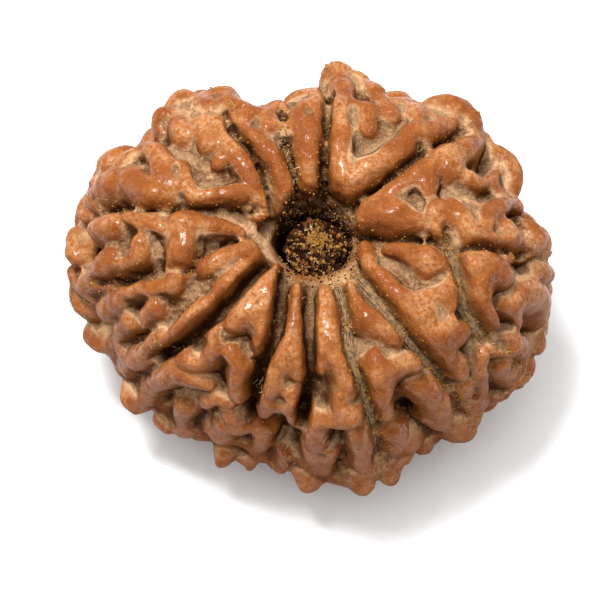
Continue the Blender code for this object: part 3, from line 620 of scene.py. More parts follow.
print("a wedge is", round(2 * FAR_RADIUS * UNDER_THICKNESS[0], 2), "mm wide at the pole")

# %% [markdown]
# ## The branches between the wedges and the rim
#
# Nearer to the rim the two ridges break up into short branches. They stand in rows, lean to one side or
# the other, and swell to a knob at the upper end.

# %% Rows of branches
FAR_ROW_SPACING = 2.1
FAR_COLUMN_SPACING = 2.1
ROW_NARROWING = 0.45
COLUMN_JITTER = 0.15
TURN_JITTER = 4.0
LEANS = (0.03, 0.1)
CLIMBS = (4.0, 9.0)
BRANCH_SIZES = (0.85, 1.15)
BRANCH_LEAN = np.array([-1.0, 0.2, 1.0])
BRANCH_CLIMB = np.array([-1.0, 0.0, 1.0])
BRANCH_THICKNESS = np.array([0.9, 1.0, 1.35])


def far_branch(draw, azimuth, turn):
    """One branch through this place: three points that climb and lean, with the thickest one on top."""
    lean = draw.choice((-1, 1)) * draw.uniform(*LEANS)
    climb = math.radians(draw.uniform(*CLIMBS))
    turns = np.radians(turn + draw.uniform(-TURN_JITTER, TURN_JITTER)) + climb * BRANCH_CLIMB
    points = on_body(azimuth + lean * BRANCH_LEAN, turns, RIDGE_LIFT)
    return rounded_course(points, FAR_RADIUS * draw.uniform(*BRANCH_SIZES) * BRANCH_THICKNESS)


def far_branches(draw, start, end):
    """Rows of branches from the wedges to where the view ends, as many in a row as its width has room for."""
    courses = []
    middle = math.radians((start + end) / 2)
    reach = rim_radius(np.array(middle)) - RIM_STANDOUT
    rise = hidden_from(middle) - UNDER_RIDGE_TURN
    rows = max(2, round(np.radians(rise) * BODY_HALF_HEIGHT / FAR_ROW_SPACING))
    for row in range(rows + 1):
        turn = UNDER_RIDGE_TURN + rise * row / rows
        narrowed = 1 - ROW_NARROWING + ROW_NARROWING * math.cos(math.radians(turn))
        width = math.radians(end - start) * reach * narrowed
        columns = max(1, round(width / FAR_COLUMN_SPACING))
        for column in range(columns):
            share = (column + 0.5 + draw.uniform(-COLUMN_JITTER, COLUMN_JITTER)) / columns
            courses.append(far_branch(draw, math.radians(start + (end - start) * share), turn))
    return courses


def far_courses():
    """The ridges of every face's hidden side, from cleft to cleft."""
    draw = random.Random(FAR_SIDE_SEED)
    edges = sorted(math.degrees(azimuth_of(in_view(*pixels[-1]))) % 360.0 for pixels in CLEFTS.values())
    courses = []
    for start, end in zip(edges, edges[1:] + [edges[0] + 360.0]):
        courses += under_ridges(draw, start, end)
        courses += far_branches(draw, start, end)
    return courses


far = far_courses()
print(len(far), "ridges by the rule")

# %% [markdown]
# ## The clefts, all the way down
#
# A cleft parts two faces, and each face holds one seed chamber, so a cleft can't end at the rim. Past the
# last point that the view shows, each one runs straight down the side to the lower pole.

# %% The clefts' courses
UNDER_CLEFT_POINTS = 16


def cleft_courses():
    """Each cleft as rows of points, from the canal over the rim and down to the lower pole."""
    courses = {}
    for name, pixels in CLEFTS.items():
        seen = [np.array(behind_pixel(bare_tree, x, y)) for x, y in pixels]
        azimuth = azimuth_of(seen[-1])
        turns = np.radians(np.linspace(hidden_from(azimuth), POLE_TURN, UNDER_CLEFT_POINTS))
        route = np.vstack([seen, on_body(azimuth, turns)])
        courses[name] = rounded_course(route, np.ones(len(route)))[0]
    return courses


clefts = cleft_courses()
print(len(clefts), "clefts, each of about", len(clefts["A"]), "points")

# %% [markdown]
# ## Nothing on it is even
#
# A ridge that keeps its width looks like a pipe. Smooth noise makes it natural: each corner of a lattice of
# cubes gets a number by a hash of its place, and the numbers are blended inside each cube.


# %% Noise worked out as whole arrays
HASH_FACTORS = (73856093, 19349663, 83492791)
HASH_MIXER = 1274126177
HASH_MASK = 0xFFFFFF
SEED_STEP = 17


def smooth_noise(points, size, seed):
    """Noise from -1 to 1: hashed numbers at the corners of cubes of this size, blended by smoothsteps."""
    cell = np.floor(points / size).astype(np.int64)
    share = points / size - cell
    share = share * share * (3 - 2 * share)
    total = np.zeros(len(points))
    for corner in np.ndindex(2, 2, 2):
        at = (cell + np.array(corner) + seed * SEED_STEP) * HASH_FACTORS
        mixed = at[:, 0] ^ at[:, 1] ^ at[:, 2]
        mixed = ((mixed ^ (mixed >> 13)) * HASH_MIXER) & HASH_MASK
        weight = np.prod(np.where(np.array(corner) == 1, share, 1 - share), axis=1)
        total += weight * (mixed / (HASH_MASK // 2) - 1.0)
    return total


print("noise at three places:", smooth_noise(bare[0, :3], 1.0, 1).round(2))

# %% [markdown]
# ## Swollen and sunk ridges
#
# The noise swells and pinches each ridge, and bends its course a little. The ridges by the rule also sink
# where they face the viewer. The knobs that the photograph shows at the front then stand out like fingers,
# with deep gaps between them.

# %% Uneven ridges
GROWTH = 1.16
SWELLING = 0.2
SWELL_SIZE = 1.3
WANDER = 0.14
WANDER_SIZE = 1.1
FRONT_SINK = 0.75


def uneven(course, thickness):
    """The ridge grown wider, with a radius that swells and a course that wanders by noise."""
    swell = 1 + SWELLING * smooth_noise(course, SWELL_SIZE, 11)
    bend = np.stack([smooth_noise(course, WANDER_SIZE, seed) for seed in (12, 13, 14)], axis=1)
    return course + WANDER * bend, thickness * GROWTH * swell


def drawn_in(course):
    """The course sunk by as much as it faces the viewer: the sink times minus the way out's y."""
    out = outwards(course)
    return course - out * (FRONT_SINK * np.maximum(-out[:, 1], 0.0))[:, None]


ridges = [uneven(*ridge) for ridge in shown] + [uneven(drawn_in(course), radii) for course, radii in far]
print("the ridges are", round(2 * float(np.mean([ridge[1].max() for ridge in ridges])), 2), "mm wide")

# %% [markdown]
# ## A ridge is a worm
#
# Each ridge is a round profile carried along its course. Its upper half is a half circle. Its lower half
# is drawn down into the body like the foot of a loaf, so that no gap is left under it and its flanks stand
# steep, as on the real stone.

# %% A profile carried along a course
WORM_SIDES = 14
FOOT_DEPTH = 0.85
FOOT_SPREAD = 0.12
FULL_FOOT_RADIUS = 0.5


def worm(course, thickness):
    """A ridge's surface: at each step a circle of its radius across the course, its lower half drawn down."""
    along = unit(np.gradient(course, axis=0))
    out = outwards(course)
    side = unit(np.cross(along, out))
    out = np.cross(side, along)
    angle = np.linspace(0, 2 * np.pi, WORM_SIDES, endpoint=False)[None, :, None]
    radius = thickness[:, None, None]
    below = np.maximum(-np.sin(angle), 0.0)
    across = radius * np.cos(angle) * (1 + FOOT_SPREAD * below)
    up = radius * np.sin(angle) - FOOT_DEPTH * below * np.minimum(radius / FULL_FOOT_RADIUS, 1.0)
    return course[:, None] + side[:, None] * across + out[:, None] * up


worms = [worm(*ridge) for ridge in ridges]
print("the first worm is a grid of", worms[0].shape[:2], "points")

# %% [markdown]
# ## Pressing the clefts in
#
# The body sinks along each cleft by a bell curve of the distance to it, so a cleft has rounded lips and a
# narrow floor. On the walls the whole body sinks too: the photograph shows deep gaps between the ridges
# there, while on the upper face the wood fills them nearly to the top.

# %% The body with its clefts
CLEFT_DEPTH = 1.6
CLEFT_HALF_WIDTH = 0.5
CLEFT_REACH = 2.0
STRETCH_POINTS = 12
WALL_SINK = 0.8
WALL_FROM = 0.75
WALL_FULL = 0.25


def nearest_gap(points, courses):
    """The distance from each point to the nearest course, or the reach where none is nearer than that."""
    nearest = np.full(len(points), CLEFT_REACH)
    for course in courses:
        for stretch in np.array_split(course, max(1, len(course) // STRETCH_POINTS)):
            near = near_to(points, stretch, CLEFT_REACH)
            gaps = np.linalg.norm(points[near, None] - stretch[None], axis=2)
            nearest[near] = np.minimum(nearest[near], gaps.min(axis=1))
    return nearest


def near_to(points, course, reach):
    """Which points lie in the course's box grown by the reach. Only these are worth measuring."""
    inside = (points > course.min(axis=0) - reach) & (points < course.max(axis=0) + reach)
    return np.flatnonzero(inside.all(axis=1))


def bell(distance, width):
    """1 at no distance, and falling as the exponential of minus its square."""
    return np.exp(-((distance / width) ** 2))


def wall_share(points):
    """0 on the face round the canal and 1 on the walls and below: a smoothstep of the way out's height."""
    share = np.clip((WALL_FROM - outwards(points)[:, 2]) / (WALL_FROM - WALL_FULL), 0.0, 1.0)
    return share * share * (3 - 2 * share)


def sunk_depth(points):
    """How deep the body is pressed in at each point: a bell curve along the clefts, and more on the walls."""
    gap = nearest_gap(points, clefts.values())
    return CLEFT_DEPTH * bell(gap, CLEFT_HALF_WIDTH) + WALL_SINK * wall_share(points)


def press_in(grid):
    """The grid sunk by that depth."""
    points = grid.reshape(-1, 3)
    return (points - outwards(points) * sunk_depth(points)[:, None]).reshape(grid.shape)


pressed = press_in(body_grid(0.0, around=400, section=200))
print("the clefts are", CLEFT_DEPTH, "mm deep in the body")

# %% [markdown]
# ## From grids to meshes
#
# Blender's mesh takes a list of points and a list of faces. One mesh can hold many grids, each with its own
# points after those of the grid before. An open grid is closed by one many-sided face at each end.

# %% Meshes from grids


def new_mesh(name, points, faces, scale=1.0, caps=()):
    """A mesh object of these points, faces and end caps, with smooth shading."""
    mesh = bpy.data.meshes.new(name)
    mesh.from_pydata((np.asarray(points) * scale).tolist(), [], [*np.asarray(faces).tolist(), *caps])
    mesh.polygons.foreach_set("use_smooth", np.ones(len(mesh.polygons), bool))
    piece = bpy.data.objects.new(name, mesh)
    bpy.context.scene.collection.objects.link(piece)
    return piece


def joined_grids(grids, close_rows):
    """The points and the quads of several grids as one pair of arrays."""
    points = []
    faces = []
    count = 0
    for grid in grids:
        rows, columns = grid.shape[:2]
        faces.append(grid_faces(rows, columns, close_rows, count))
        points.append(grid.reshape(-1, 3))
        count += rows * columns
    return np.vstack(points), np.vstack(faces)


def end_caps(grids):
    """The faces that close both ends of open grids of one size, turned as the grids' own faces are."""
    rows, columns = grids[0].shape[:2]
    ring = np.arange(columns)
    starts = np.arange(len(grids))[:, None] * rows * columns
    return np.vstack([starts + ring, starts + (rows - 1) * columns + ring[::-1]]).tolist()


print("all the worms together have", sum(grid[..., 0].size for grid in worms), "points")

# %% [markdown]
# ## One skin
#
# The real stone grew as one piece, so the body and the worms are fused. Blender's voxel Remesh does this:
# it keeps only the outside of everything that overlaps. Smooth then rounds the joints, as growth does, and
# Decimate thins the skin, most where it is flat.

# %% Fuse the body and the worms
VOXEL = 0.17
ROUNDING = 5
ROUNDING_SHARE = 0.5
MOST_TRIANGLES = 190000


def apply_modifiers(piece):
    """Replaces the object's mesh by the one that its modifiers give."""
    graph = bpy.context.evaluated_depsgraph_get()
    mesh = bpy.data.meshes.new_from_object(piece.evaluated_get(graph))
    piece.modifiers.clear()
    piece.data = mesh


def fuse(piece, rounding):
    """Keeps the outside of everything that overlaps and rounds it, then thins it to the most triangles."""
    remesh = piece.modifiers.new("Fuse", "REMESH")
    remesh.mode = "VOXEL"
    remesh.voxel_size = VOXEL
    smooth = piece.modifiers.new("Round", "SMOOTH")
    smooth.factor = ROUNDING_SHARE
    smooth.iterations = rounding
    apply_modifiers(piece)
    thin = piece.modifiers.new("Thin", "DECIMATE")
    thin.ratio = min(1.0, MOST_TRIANGLES / (2 * len(piece.data.polygons)))
    apply_modifiers(piece)


def make_stone():
    """The fused stone, still in millimetres."""
    ring_points, ring_faces = joined_grids([pressed], True)
    worm_points, worm_faces = joined_grids(worms, False)
    points = np.vstack([ring_points, worm_points])
    faces = np.vstack([ring_faces, worm_faces + len(ring_points)])
    stone = new_mesh("rudraksha_stone", points, faces)
    fuse(stone, ROUNDING)
    return stone


stone = make_stone()
print("the stone's skin has", len(stone.data.polygons), "faces")

# %% [markdown]
# ## How far a point is from the body and the ridges
#
# The fused skin still looks like pipes on a ball. On the real stone a ridge flows into the next one and
# into the hollow beside it. To melt the joints, each point needs its distance to the body and to each
# ridge. A wider copy of each ridge, sunk into the body, gives it a sloping foot.

# %% Distances to the body, and the ridges' feet
SKIRT_DROP = 0.9
SKIRT_GROWTH = 1.4
SMALLEST_SHARE = 1e-6


def points_of(piece):
    """The mesh's points as an array of rows."""
    flat = np.empty(len(piece.data.vertices) * 3)
    piece.data.vertices.foreach_get("co", flat)
    return flat.reshape(-1, 3)


def set_points(piece, points):
    """Writes rows of points back into the mesh."""
    piece.data.vertices.foreach_set("co", np.asarray(points, float).ravel())
    piece.data.update()


def body_level(points):
    """About how far each point stands above the bare body, from the superellipse that passes through it."""
    rim = rim_radius(azimuths(points)) - RIM_STANDOUT
    middle, half = (rim + THROAT_RADIUS) / 2, (rim - THROAT_RADIUS) / 2
    across = (from_canal(points) - middle) / half
    up = (points[:, 2] - BODY_CENTRE_HEIGHT) / BODY_HALF_HEIGHT
    fullness = np.where(across > 0, OUTER_FULLNESS, INNER_FULLNESS)
    share = (np.abs(across) ** fullness + np.abs(up) ** fullness) ** (1 / fullness)
    distance = np.hypot(across * half, up * BODY_HALF_HEIGHT)
    return distance * (1 - 1 / np.maximum(share, SMALLEST_SHARE))


def with_skirts(ridges):
    """The ridges without their tips, and below each a wider one sunk into the body."""
    inner = slice(TIP_STEPS, -TIP_STEPS)
    trimmed = [(course[inner], thickness[inner]) for course, thickness in ridges]
    skirts = []
    for course, thickness in trimmed:
        skirts.append((course - SKIRT_DROP * outwards(course), SKIRT_GROWTH * thickness))
    return trimmed + skirts


shapes = with_skirts(ridges)
highest = float(body_level(points_of(stone)).max())
print("the highest point stands", round(highest, 2), "mm above the bare body")

# %% [markdown]
# ## Melting the joints
#
# A soft minimum of the distances melts shapes into each other. The exponentials of the distances, divided
# by a softness, are added up, and the logarithm of the sum is one distance that is a little smaller
# wherever two shapes are close. Each point is moved along the steepest way until that distance is nothing.

# %% Settle the skin on the soft union of all the shapes
SOFTNESS = 0.12
REACH = 1.0
DEEPEST = -2.0
HIGHEST = 4.0
LONGEST_MOVE = 0.3
SETTLING_ROUNDS = 3


def soft_distance(points, sunk):
    """The soft minimum of the distances to the body and the ridges, and the way that it grows."""
    total = np.exp(-np.clip(body_level(points) + sunk, DEEPEST, HIGHEST) / SOFTNESS)
    way = total[:, None] * outwards(points)
    for course, thickness in shapes:
        near = near_to(points, course, thickness.max() + REACH)
        away = points[near, None] - course[None]
        gaps = np.linalg.norm(away, axis=2) - thickness
        closest = gaps.argmin(axis=1)
        rows = np.arange(len(near))
        share = np.exp(-np.maximum(gaps[rows, closest], DEEPEST) / SOFTNESS)
        total[near] += share
        way[near] += share[:, None] * unit(away[rows, closest])
    return -SOFTNESS * np.log(total), unit(way)


def settle(piece):
    """Moves each point onto the soft union, by its distance along the way that it grows."""
    points = points_of(piece)
    for _ in range(SETTLING_ROUNDS):
        distance, way = soft_distance(points, sunk_depth(points))
        points = points - way * np.clip(distance, -LONGEST_MOVE, LONGEST_MOVE)[:, None]
    set_points(piece, points)
    return distance


print("half of the points moved less than", round(float(np.median(np.abs(settle(stone)))), 4), "mm at last")

# %% [markdown]
# ## Parting the faces
#
# Where a ridge leans over a cleft, the cleft still runs on: it is a seam between two faces that grew side
# by side. So the skin is held below a narrow V along each cleft. Three clefts stay open wider as a flat
# strip of bare wood, and three more are cut wider because the photograph shows them as dark gaps. Down the
# walls every V closes, as the ridges there grow across it. How far a point is from the seam is measured
# from its foot, the place on the bare body below it.

# %% Cut the seams
STRIPS = ("D2", "E", "F")
DARK_CLEFTS = ("G", "H", "I")
SEAM_HALF_WIDTH = 0.1
STRIP_HALF_WIDTH = 0.3
SEAM_SLOPE = 11.0
SEAM_FLOOR = -0.9
STRIP_FLOOR = -0.2
SEAM_CLOSING = 3.0
DARK_WIDENING = 0.18
RAGGEDNESS = 0.1
RAGGED_SIZE = 0.8


def gap_to(names, points):
    """The distance from each point to the nearest of the clefts of these names."""
    return nearest_gap(points, [clefts[name] for name in names])


def seam_height(points, level):
    """How high the skin may stand at each point: the floor of the nearest seam plus a steep slope."""
    feet = points - outwards(points) * level[:, None]
    ragged = RAGGEDNESS * smooth_noise(points, RAGGED_SIZE, 21)
    seams = gap_to([name for name in clefts if name not in STRIPS], feet)
    seams = np.minimum(seams, gap_to(DARK_CLEFTS, feet) - DARK_WIDENING) + ragged
    strips = gap_to(STRIPS, feet) + ragged
    narrow = SEAM_FLOOR + SEAM_SLOPE * np.maximum(seams - SEAM_HALF_WIDTH, 0.0)
    wide = STRIP_FLOOR + SEAM_SLOPE * np.maximum(strips - STRIP_HALF_WIDTH, 0.0)
    return np.minimum(narrow, wide) + SEAM_CLOSING * wall_share(points)


def cut_seams(piece):
    """Presses the skin down to the seams' height wherever it stands above it."""
    points = points_of(piece)
    level = body_level(points)
    over = np.maximum(level - seam_height(points, level), 0.0)
    set_points(piece, points - outwards(points) * over[:, None])
    return over


print(int((cut_seams(stone) > 0).sum()), "points were pressed down for the seams")

# %% [markdown]
# ## A sound skin
#
# The cut stretches the faces on the seams' walls, so a second Remesh gives these walls points of their own.
# Thinning can leave a few points that nearly touch, small tears and a loose scrap. Each would show as a
# speck or let light through, so bmesh, Blender's mesh editor for scripts, merges, closes and drops them.

# %% Fuse again and mend
SEAM_ROUNDING = 4
MENDING_GAP = 0.02
MENDED_SIDES = 8
SKIN_EDGES = 4


def is_scrap(point):
    """Whether each neighbour has fewer edges than a point of the skin, as in a loose scrap."""
    return all(len(edge.other_vert(point).link_edges) < SKIN_EDGES for edge in point.link_edges)


def mend(piece):
    """Merges points that nearly touch, closes the small holes that this leaves and drops loose scraps."""
    mesh = bmesh.new()
    mesh.from_mesh(piece.data)
    bmesh.ops.remove_doubles(mesh, verts=mesh.verts, dist=MENDING_GAP)
    bmesh.ops.dissolve_degenerate(mesh, edges=mesh.edges, dist=MENDING_GAP)
    torn = [edge for edge in mesh.edges if not edge.is_manifold]
    bmesh.ops.holes_fill(mesh, edges=[edge for edge in torn if edge.is_boundary], sides=MENDED_SIDES)
    bmesh.ops.triangulate(mesh, faces=mesh.faces)
    scraps = [point for point in mesh.verts if is_scrap(point)]
    bmesh.ops.delete(mesh, geom=scraps, context="VERTS")
    still = sum(not edge.is_manifold for edge in mesh.edges)
    mesh.to_mesh(piece.data)
    mesh.free()
    print(len(torn), "torn edges were mended and", still, "are left")


fuse(stone, SEAM_ROUNDING)
mend(stone)
print("the stone's skin now has", len(stone.data.polygons), "faces")

# %% [markdown]
# ## What lies high and what lies low
#
# Oil and fingers polish the tops of the ridges, and dust stays in the hollows, while the deepest hollows and
# creases take painted shade. So the finish needs to know how high each point lies. The mesh is smoothed far
# more than the eye would, and a point's height over that smoothed skin, along its own outward direction,
# says whether it is a top or a hollow. A few rounds tell narrow grooves, and many rounds tell whole ridges
# from whole valleys.

# %% Heights over a smoothed skin
FINE_ROUNDS = 8
BROAD_ROUNDS = 60


def normals_of(piece):
    """The outward direction at each of the mesh's points."""
    flat = np.empty(len(piece.data.vertices) * 3)
    piece.data.vertices.foreach_get("normal", flat)
    return flat.reshape(-1, 3)


def edges_of(piece):
    """The mesh's edges as pairs of points."""
    pairs = np.empty(len(piece.data.edges) * 2, np.int32)
    piece.data.edges.foreach_get("vertices", pairs)
    return pairs.reshape(-1, 2)


def averaged(values, edges, rounds):
    """Each point's value replaced by the mean of its neighbours', again and again."""
    count = len(values)
    ends = np.concatenate([edges[:, 0], edges[:, 1]])
    others = np.concatenate([edges[:, 1], edges[:, 0]])
    neighbours = np.maximum(np.bincount(ends, minlength=count), 1)
    for _ in range(rounds):
        columns = [np.bincount(ends, weights=column[others], minlength=count) for column in values.T]
        values = np.stack(columns, axis=1) / neighbours[:, None]
    return values


def height_over(piece, rounds):
    """How far each point stands out of the skin smoothed by this many rounds, in millimetres."""
    points = points_of(piece)
    smoothed = averaged(points, edges_of(piece), rounds)
    return ((points - smoothed) * normals_of(piece)).sum(axis=1)


def ramp(values, low, high):
    """0 below low, 1 above high, and a straight line between."""
    return np.clip((values - low) / (high - low), 0.0, 1.0)


print("a point has about", round(2 * len(stone.data.edges) / len(stone.data.vertices), 1), "neighbours")

# %% [markdown]
# ## Fine relief, and the spots that it rests on
#
# Sharp points are drawn in first. Two sizes of noise then make the ridges a little uneven, as hand-rubbed
# wood is. A fine one roughens the hollows, where dust has caked, and a coarser one the mouth. Each is a
# height, a size and a seed. The lowest ridges end level with the floor, as the solid's do.

# %% Roughen the skin
SPIKE_LIMIT = 0.1
SPIKE_ROUNDS = 4
HOLLOW_HEIGHTS = (-0.25, 0.1)
MOUTH_REACHES = (2.4, 3.6)
FOLDS = (0.08, 0.9, 1)
WARTS = (0.03, 0.42, 2)
CAKED_DUST = (0.06, 0.28, 3)
MOUTH_CRUST = (0.16, 0.6, 4)


def blunt_spikes(piece):
    """Draws in each point that stands further than the limit out of the lightly smoothed skin."""
    for _ in range(SPIKE_ROUNDS):
        over = np.maximum(height_over(piece, FINE_ROUNDS) - SPIKE_LIMIT, 0.0)
        set_points(piece, points_of(piece) - normals_of(piece) * over[:, None])


def relief(points, height, size, seed):
    """Noise of this size and seed, times the height."""
    return height * smooth_noise(points, size, seed)


def roughen(piece):
    """Moves each point along its outward direction by noise, and lifts it to the floor if it lies below."""
    points = points_of(piece)
    hollow = 1 - ramp(height_over(piece, BROAD_ROUNDS), *HOLLOW_HEIGHTS)
    mouth = 1 - ramp(from_canal(points), *MOUTH_REACHES)
    ridged = relief(points, *FOLDS) + relief(points, *WARTS)
    caked = hollow * relief(points, *CAKED_DUST) + mouth * relief(points, *MOUTH_CRUST)
    points = points + normals_of(piece) * (ridged + caked)[:, None]
    points[:, 2] = np.maximum(points[:, 2], 0.0)
    set_points(piece, points)
    return points


blunt_spikes(stone)
skin = roughen(stone)
print(int((skin[:, 2] <= 0).sum()), "points rest on the floor")

# %% [markdown]
# ## What the finish reads
#
# A shader can't measure a mesh, but it can read numbers that are stored with the points. They are the three
# heights, how near each point is to a cleft or a strip, how far it is from the canal, and how far it faces
# up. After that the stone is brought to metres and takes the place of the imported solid.

# %% Store the numbers and place the stone
PALE_CLEFT = 0.55
PALE_CLEFT_WIDTH = 0.45
DARK_CLEFT_WIDTH = 0.7
STRIP_WIDTH = 0.4


def looks_numbers(piece, points):
    """The numbers that the finish reads, each with its name."""
    # pale and dark weigh the painted shade along the clefts: a share of it along every cleft, all of it along
    # the dark ones.
    pale = PALE_CLEFT * bell(gap_to(clefts, points), PALE_CLEFT_WIDTH)
    dark = bell(gap_to(DARK_CLEFTS, points), DARK_CLEFT_WIDTH)
    return {
        "level": body_level(points),
        "fine": height_over(piece, FINE_ROUNDS),
        "broad": height_over(piece, BROAD_ROUNDS),
        "cleft": np.maximum(pale, dark),
        "strip": bell(gap_to(STRIPS, points), STRIP_WIDTH),
        "reach": from_canal(points),
        "up": normals_of(piece)[:, 2],
    }


def store(piece, name, values):
    """Keeps one number for each point as an attribute that the finish can read."""
    layer = piece.data.attributes.new(name, "FLOAT", "POINT")
    layer.data.foreach_set("value", np.asarray(values, np.float32))
    print(name, np.percentile(values, [2, 25, 50, 75, 98]).round(2))


for name, values in looks_numbers(stone, skin).items():
    store(stone, name, values)
skin_tree = BVHTree.FromPolygons(skin.tolist(), [list(face.vertices) for face in stone.data.polygons])
set_points(stone, skin * MM)
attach(stone, "root")
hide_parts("stone")

# %% [markdown]
# ## Shader maths as plain sums
#
# A material is a tree of nodes. A small class wraps one output of a node, so that a sum of two masks is
# written as a sum and adds its Math node. Every other node comes from one method.


# %% A small class for shader maths
class Wire:
    """One output of a node in a material. Arithmetic on it adds Math nodes."""

    def __init__(self, paint, socket):
        """Keeps the material and the socket."""
        self.paint = paint
        self.socket = socket

    def math(self, operation, *values):
        """A Math node of this operation on these values or wires."""
        return self.paint.node("ShaderNodeMath", {"operation": operation}, dict(enumerate(values)))

    def __add__(self, other):
        """This plus the other."""
        return self.math("ADD", self, other)

    def __sub__(self, other):
        """This minus the other."""
        return self.math("SUBTRACT", self, other)

    def __rsub__(self, other):
        """The other minus this."""
        return self.math("SUBTRACT", other, self)

    def __mul__(self, other):
        """This times the other."""
        return self.math("MULTIPLY", self, other)

    __radd__ = __add__
    __rmul__ = __mul__

    def between(self, low, high):
        """0 below low, 1 above high, and a soft step between."""
        sockets = {"Value": self, "From Min": low, "From Max": high}
        return self.paint.node("ShaderNodeMapRange", {"interpolation_type": "SMOOTHSTEP"}, sockets)

    def smaller(self, other):
        """The smaller of this and the other."""
        return self.math("MINIMUM", self, other)

    def larger(self, other):
        """The larger of this and the other."""
        return self.math("MAXIMUM", self, other)


print("sums of wires add Math nodes")

# %% [markdown]
# ## A material and its nodes
#
# The Principled shader stands for almost any surface. What is the same all over a piece is set on the
# shader's own sockets. Patterns read Object coordinates, so they neither stretch nor slide.

# %% A class for materials
BUMP_STRENGTH = 0.8


class Paint:
    """A new Principled material and the nodes that feed it."""

    def __init__(self, name, roughness):
        """Makes the material, with one roughness all over."""
        self.material = bpy.data.materials.new(name)
        self.material.use_nodes = True
        self.tree = self.material.node_tree
        self.shader = self.tree.nodes["Principled BSDF"]
        self.give({"Roughness": roughness})

    def node(self, kind, settings=None, sockets=None, output=0):
        """Adds a node, sets it up, fills its sockets with values or wires, and gives one output."""
        made = self.tree.nodes.new(kind)
        for name, value in (settings or {}).items():
            setattr(made, name, value)
        for name, value in (sockets or {}).items():
            self.fill(made.inputs[name], value)
        return Wire(self, made.outputs[output])

    def fill(self, socket, value):
        """Links a wire to the socket, or sets the socket's own value."""
        if isinstance(value, Wire):
            self.tree.links.new(value.socket, socket)
        else:
            socket.default_value = value

    def give(self, values):
        """Fills the shader's sockets of these names."""
        for name, value in values.items():
            self.fill(self.shader.inputs[name], value)

    def attribute(self, name):
        """The number stored with the points under this name."""
        return self.node("ShaderNodeAttribute", {"attribute_name": name}, output="Fac")

    def place(self):
        """The point's own place on the object."""
        return self.node("ShaderNodeTexCoord", output="Object")

    def noise(self, size, detail=2.0, roughness=0.5):
        """Noise from 0 to 1 with lumps of about this size in millimetres."""
        sockets = {"Vector": self.place(), "Scale": 1 / (size * MM), "Detail": detail, "Roughness": roughness}
        return self.node("ShaderNodeTexNoise", None, sockets)

    def cells(self, size):
        """The distance to the nearest of many scattered points, about this many millimetres apart."""
        sockets = {"Vector": self.place(), "Scale": 1 / (size * MM)}
        return self.node("ShaderNodeTexVoronoi", None, sockets, "Distance")

    def mix(self, factor, first, second):
        """The first colour where the factor is 0 and the second where it is 1."""
        sockets = {0: factor, 6: as_colour(first), 7: as_colour(second)}
        return self.node("ShaderNodeMix", {"data_type": "RGBA"}, sockets, output=2)

    def bump(self, height, distance):
        """Feeds a height in millimetres to the Normal socket as a bump."""
        sockets = {"Height": height, "Distance": distance * MM, "Strength": BUMP_STRENGTH}
        self.give({"Normal": self.node("ShaderNodeBump", None, sockets)})


def as_colour(value):
    """A wire as it is, or three numbers with an alpha of one."""
    return value if isinstance(value, Wire) else (*value, 1.0)


print("bumps have a strength of", BUMP_STRENGTH)

# %% [markdown]
# ## Where each finish of the stone lies
#
# A mask is a number from 0 to 1 that says how much of a finish a point has. Here the stored heights give
# the masks, and noise of three sizes frays their edges. The tops are waxy. Dust lies in the shallow
# hollows that face up, and a thin haze of it on some tops. The deep hollows, the creases, the clefts, the
# walls that face sideways and the canal's mouth get painted shade, and the pits are small dark pores.

# %% The masks of the stone's finish


def stone_masks(paint):
    """All the masks, each by its name."""
    level, fine, broad = paint.attribute("level"), paint.attribute("fine"), paint.attribute("broad")
    up = paint.attribute("up")
    patches, mottle, grain = paint.noise(2.6, 3.0), paint.noise(0.7, 3.0), paint.noise(0.25, 4.0, 0.6)
    hollow = 1 - broad.between(-0.1, 0.24)
    dusty = (patches + 0.6 * grain).between(0.5, 0.9)
    # Painted shade along the clefts, where the skin lies low.
    seam = paint.attribute("cleft") * (1 - level.between(0.0, 0.75))
    # Painted shade in the deep hollows of the faces that don't look up.
    deep = (1 - broad.between(-0.5, -0.08)) * (0.93 * (1 - up.between(0.25, 0.75)))
    return SimpleNamespace(
        patches=patches,
        mottle=mottle,
        grain=grain,
        # Off the tops the flanks take a brown that is partly painted shade.
        top=(broad + 0.2 * (mottle - 0.5)).between(-0.08, 0.2),
        # Painted shade on the faces that turn sideways and down.
        wall=1 - up.between(-0.3, 0.55),
        seam=seam,
        deep=deep,
        dust=hollow * dusty * up.between(0.15, 0.65) * (1 - seam) * (1 - deep),
        haze=0.4 * patches.between(0.42, 0.62) * grain.between(0.35, 0.6) * up.between(0.3, 0.9),
        # Painted shade in narrow creases.
        crease_shade=1 - fine.between(-0.08, -0.015),
        pits=(1 - paint.cells(0.3).between(0.08, 0.22)) * mottle.between(0.42, 0.6),
        strip=paint.attribute("strip") * grain.between(0.3, 0.6),
        # Painted shade inside the canal's mouth, broken up by grain.
        mouth=(1 - paint.attribute("reach").between(2.1, 2.9)) * grain.between(0.1, 0.45),
        specks=(1 - paint.cells(0.14).between(0.12, 0.28)) * grain.between(0.42, 0.6),
        worn=grain.between(0.35, 0.6) * mottle.between(0.3, 0.55),
    )


numbers = [layer.name for layer in stone.data.attributes if layer.data_type == "FLOAT"]
print("the masks can read", ", ".join(numbers))

# %% [markdown]
# ## The stone's colours
#
# From the top down the stone shows an orange brown that oil has made waxy, a darker, redder brown on the
# flanks that is partly the wood's own and partly painted shade, a pale dusty beige in the shallow hollows,
# and a near-black painted shade in the clefts, the creases, the deep hollows and the canal's mouth. The
# walls that face sideways take a brown of painted shade. Along three of the clefts the wood is bare, grey
# and fibrous. Fine pale specks lie in the dust. Each colour is laid over the ones before it by its mask, as
# a painter glazes.

# %% Colours of the stone
WAXY_ORANGE = (0.265, 0.083, 0.016)
WAXY_RED = (0.185, 0.05, 0.011)
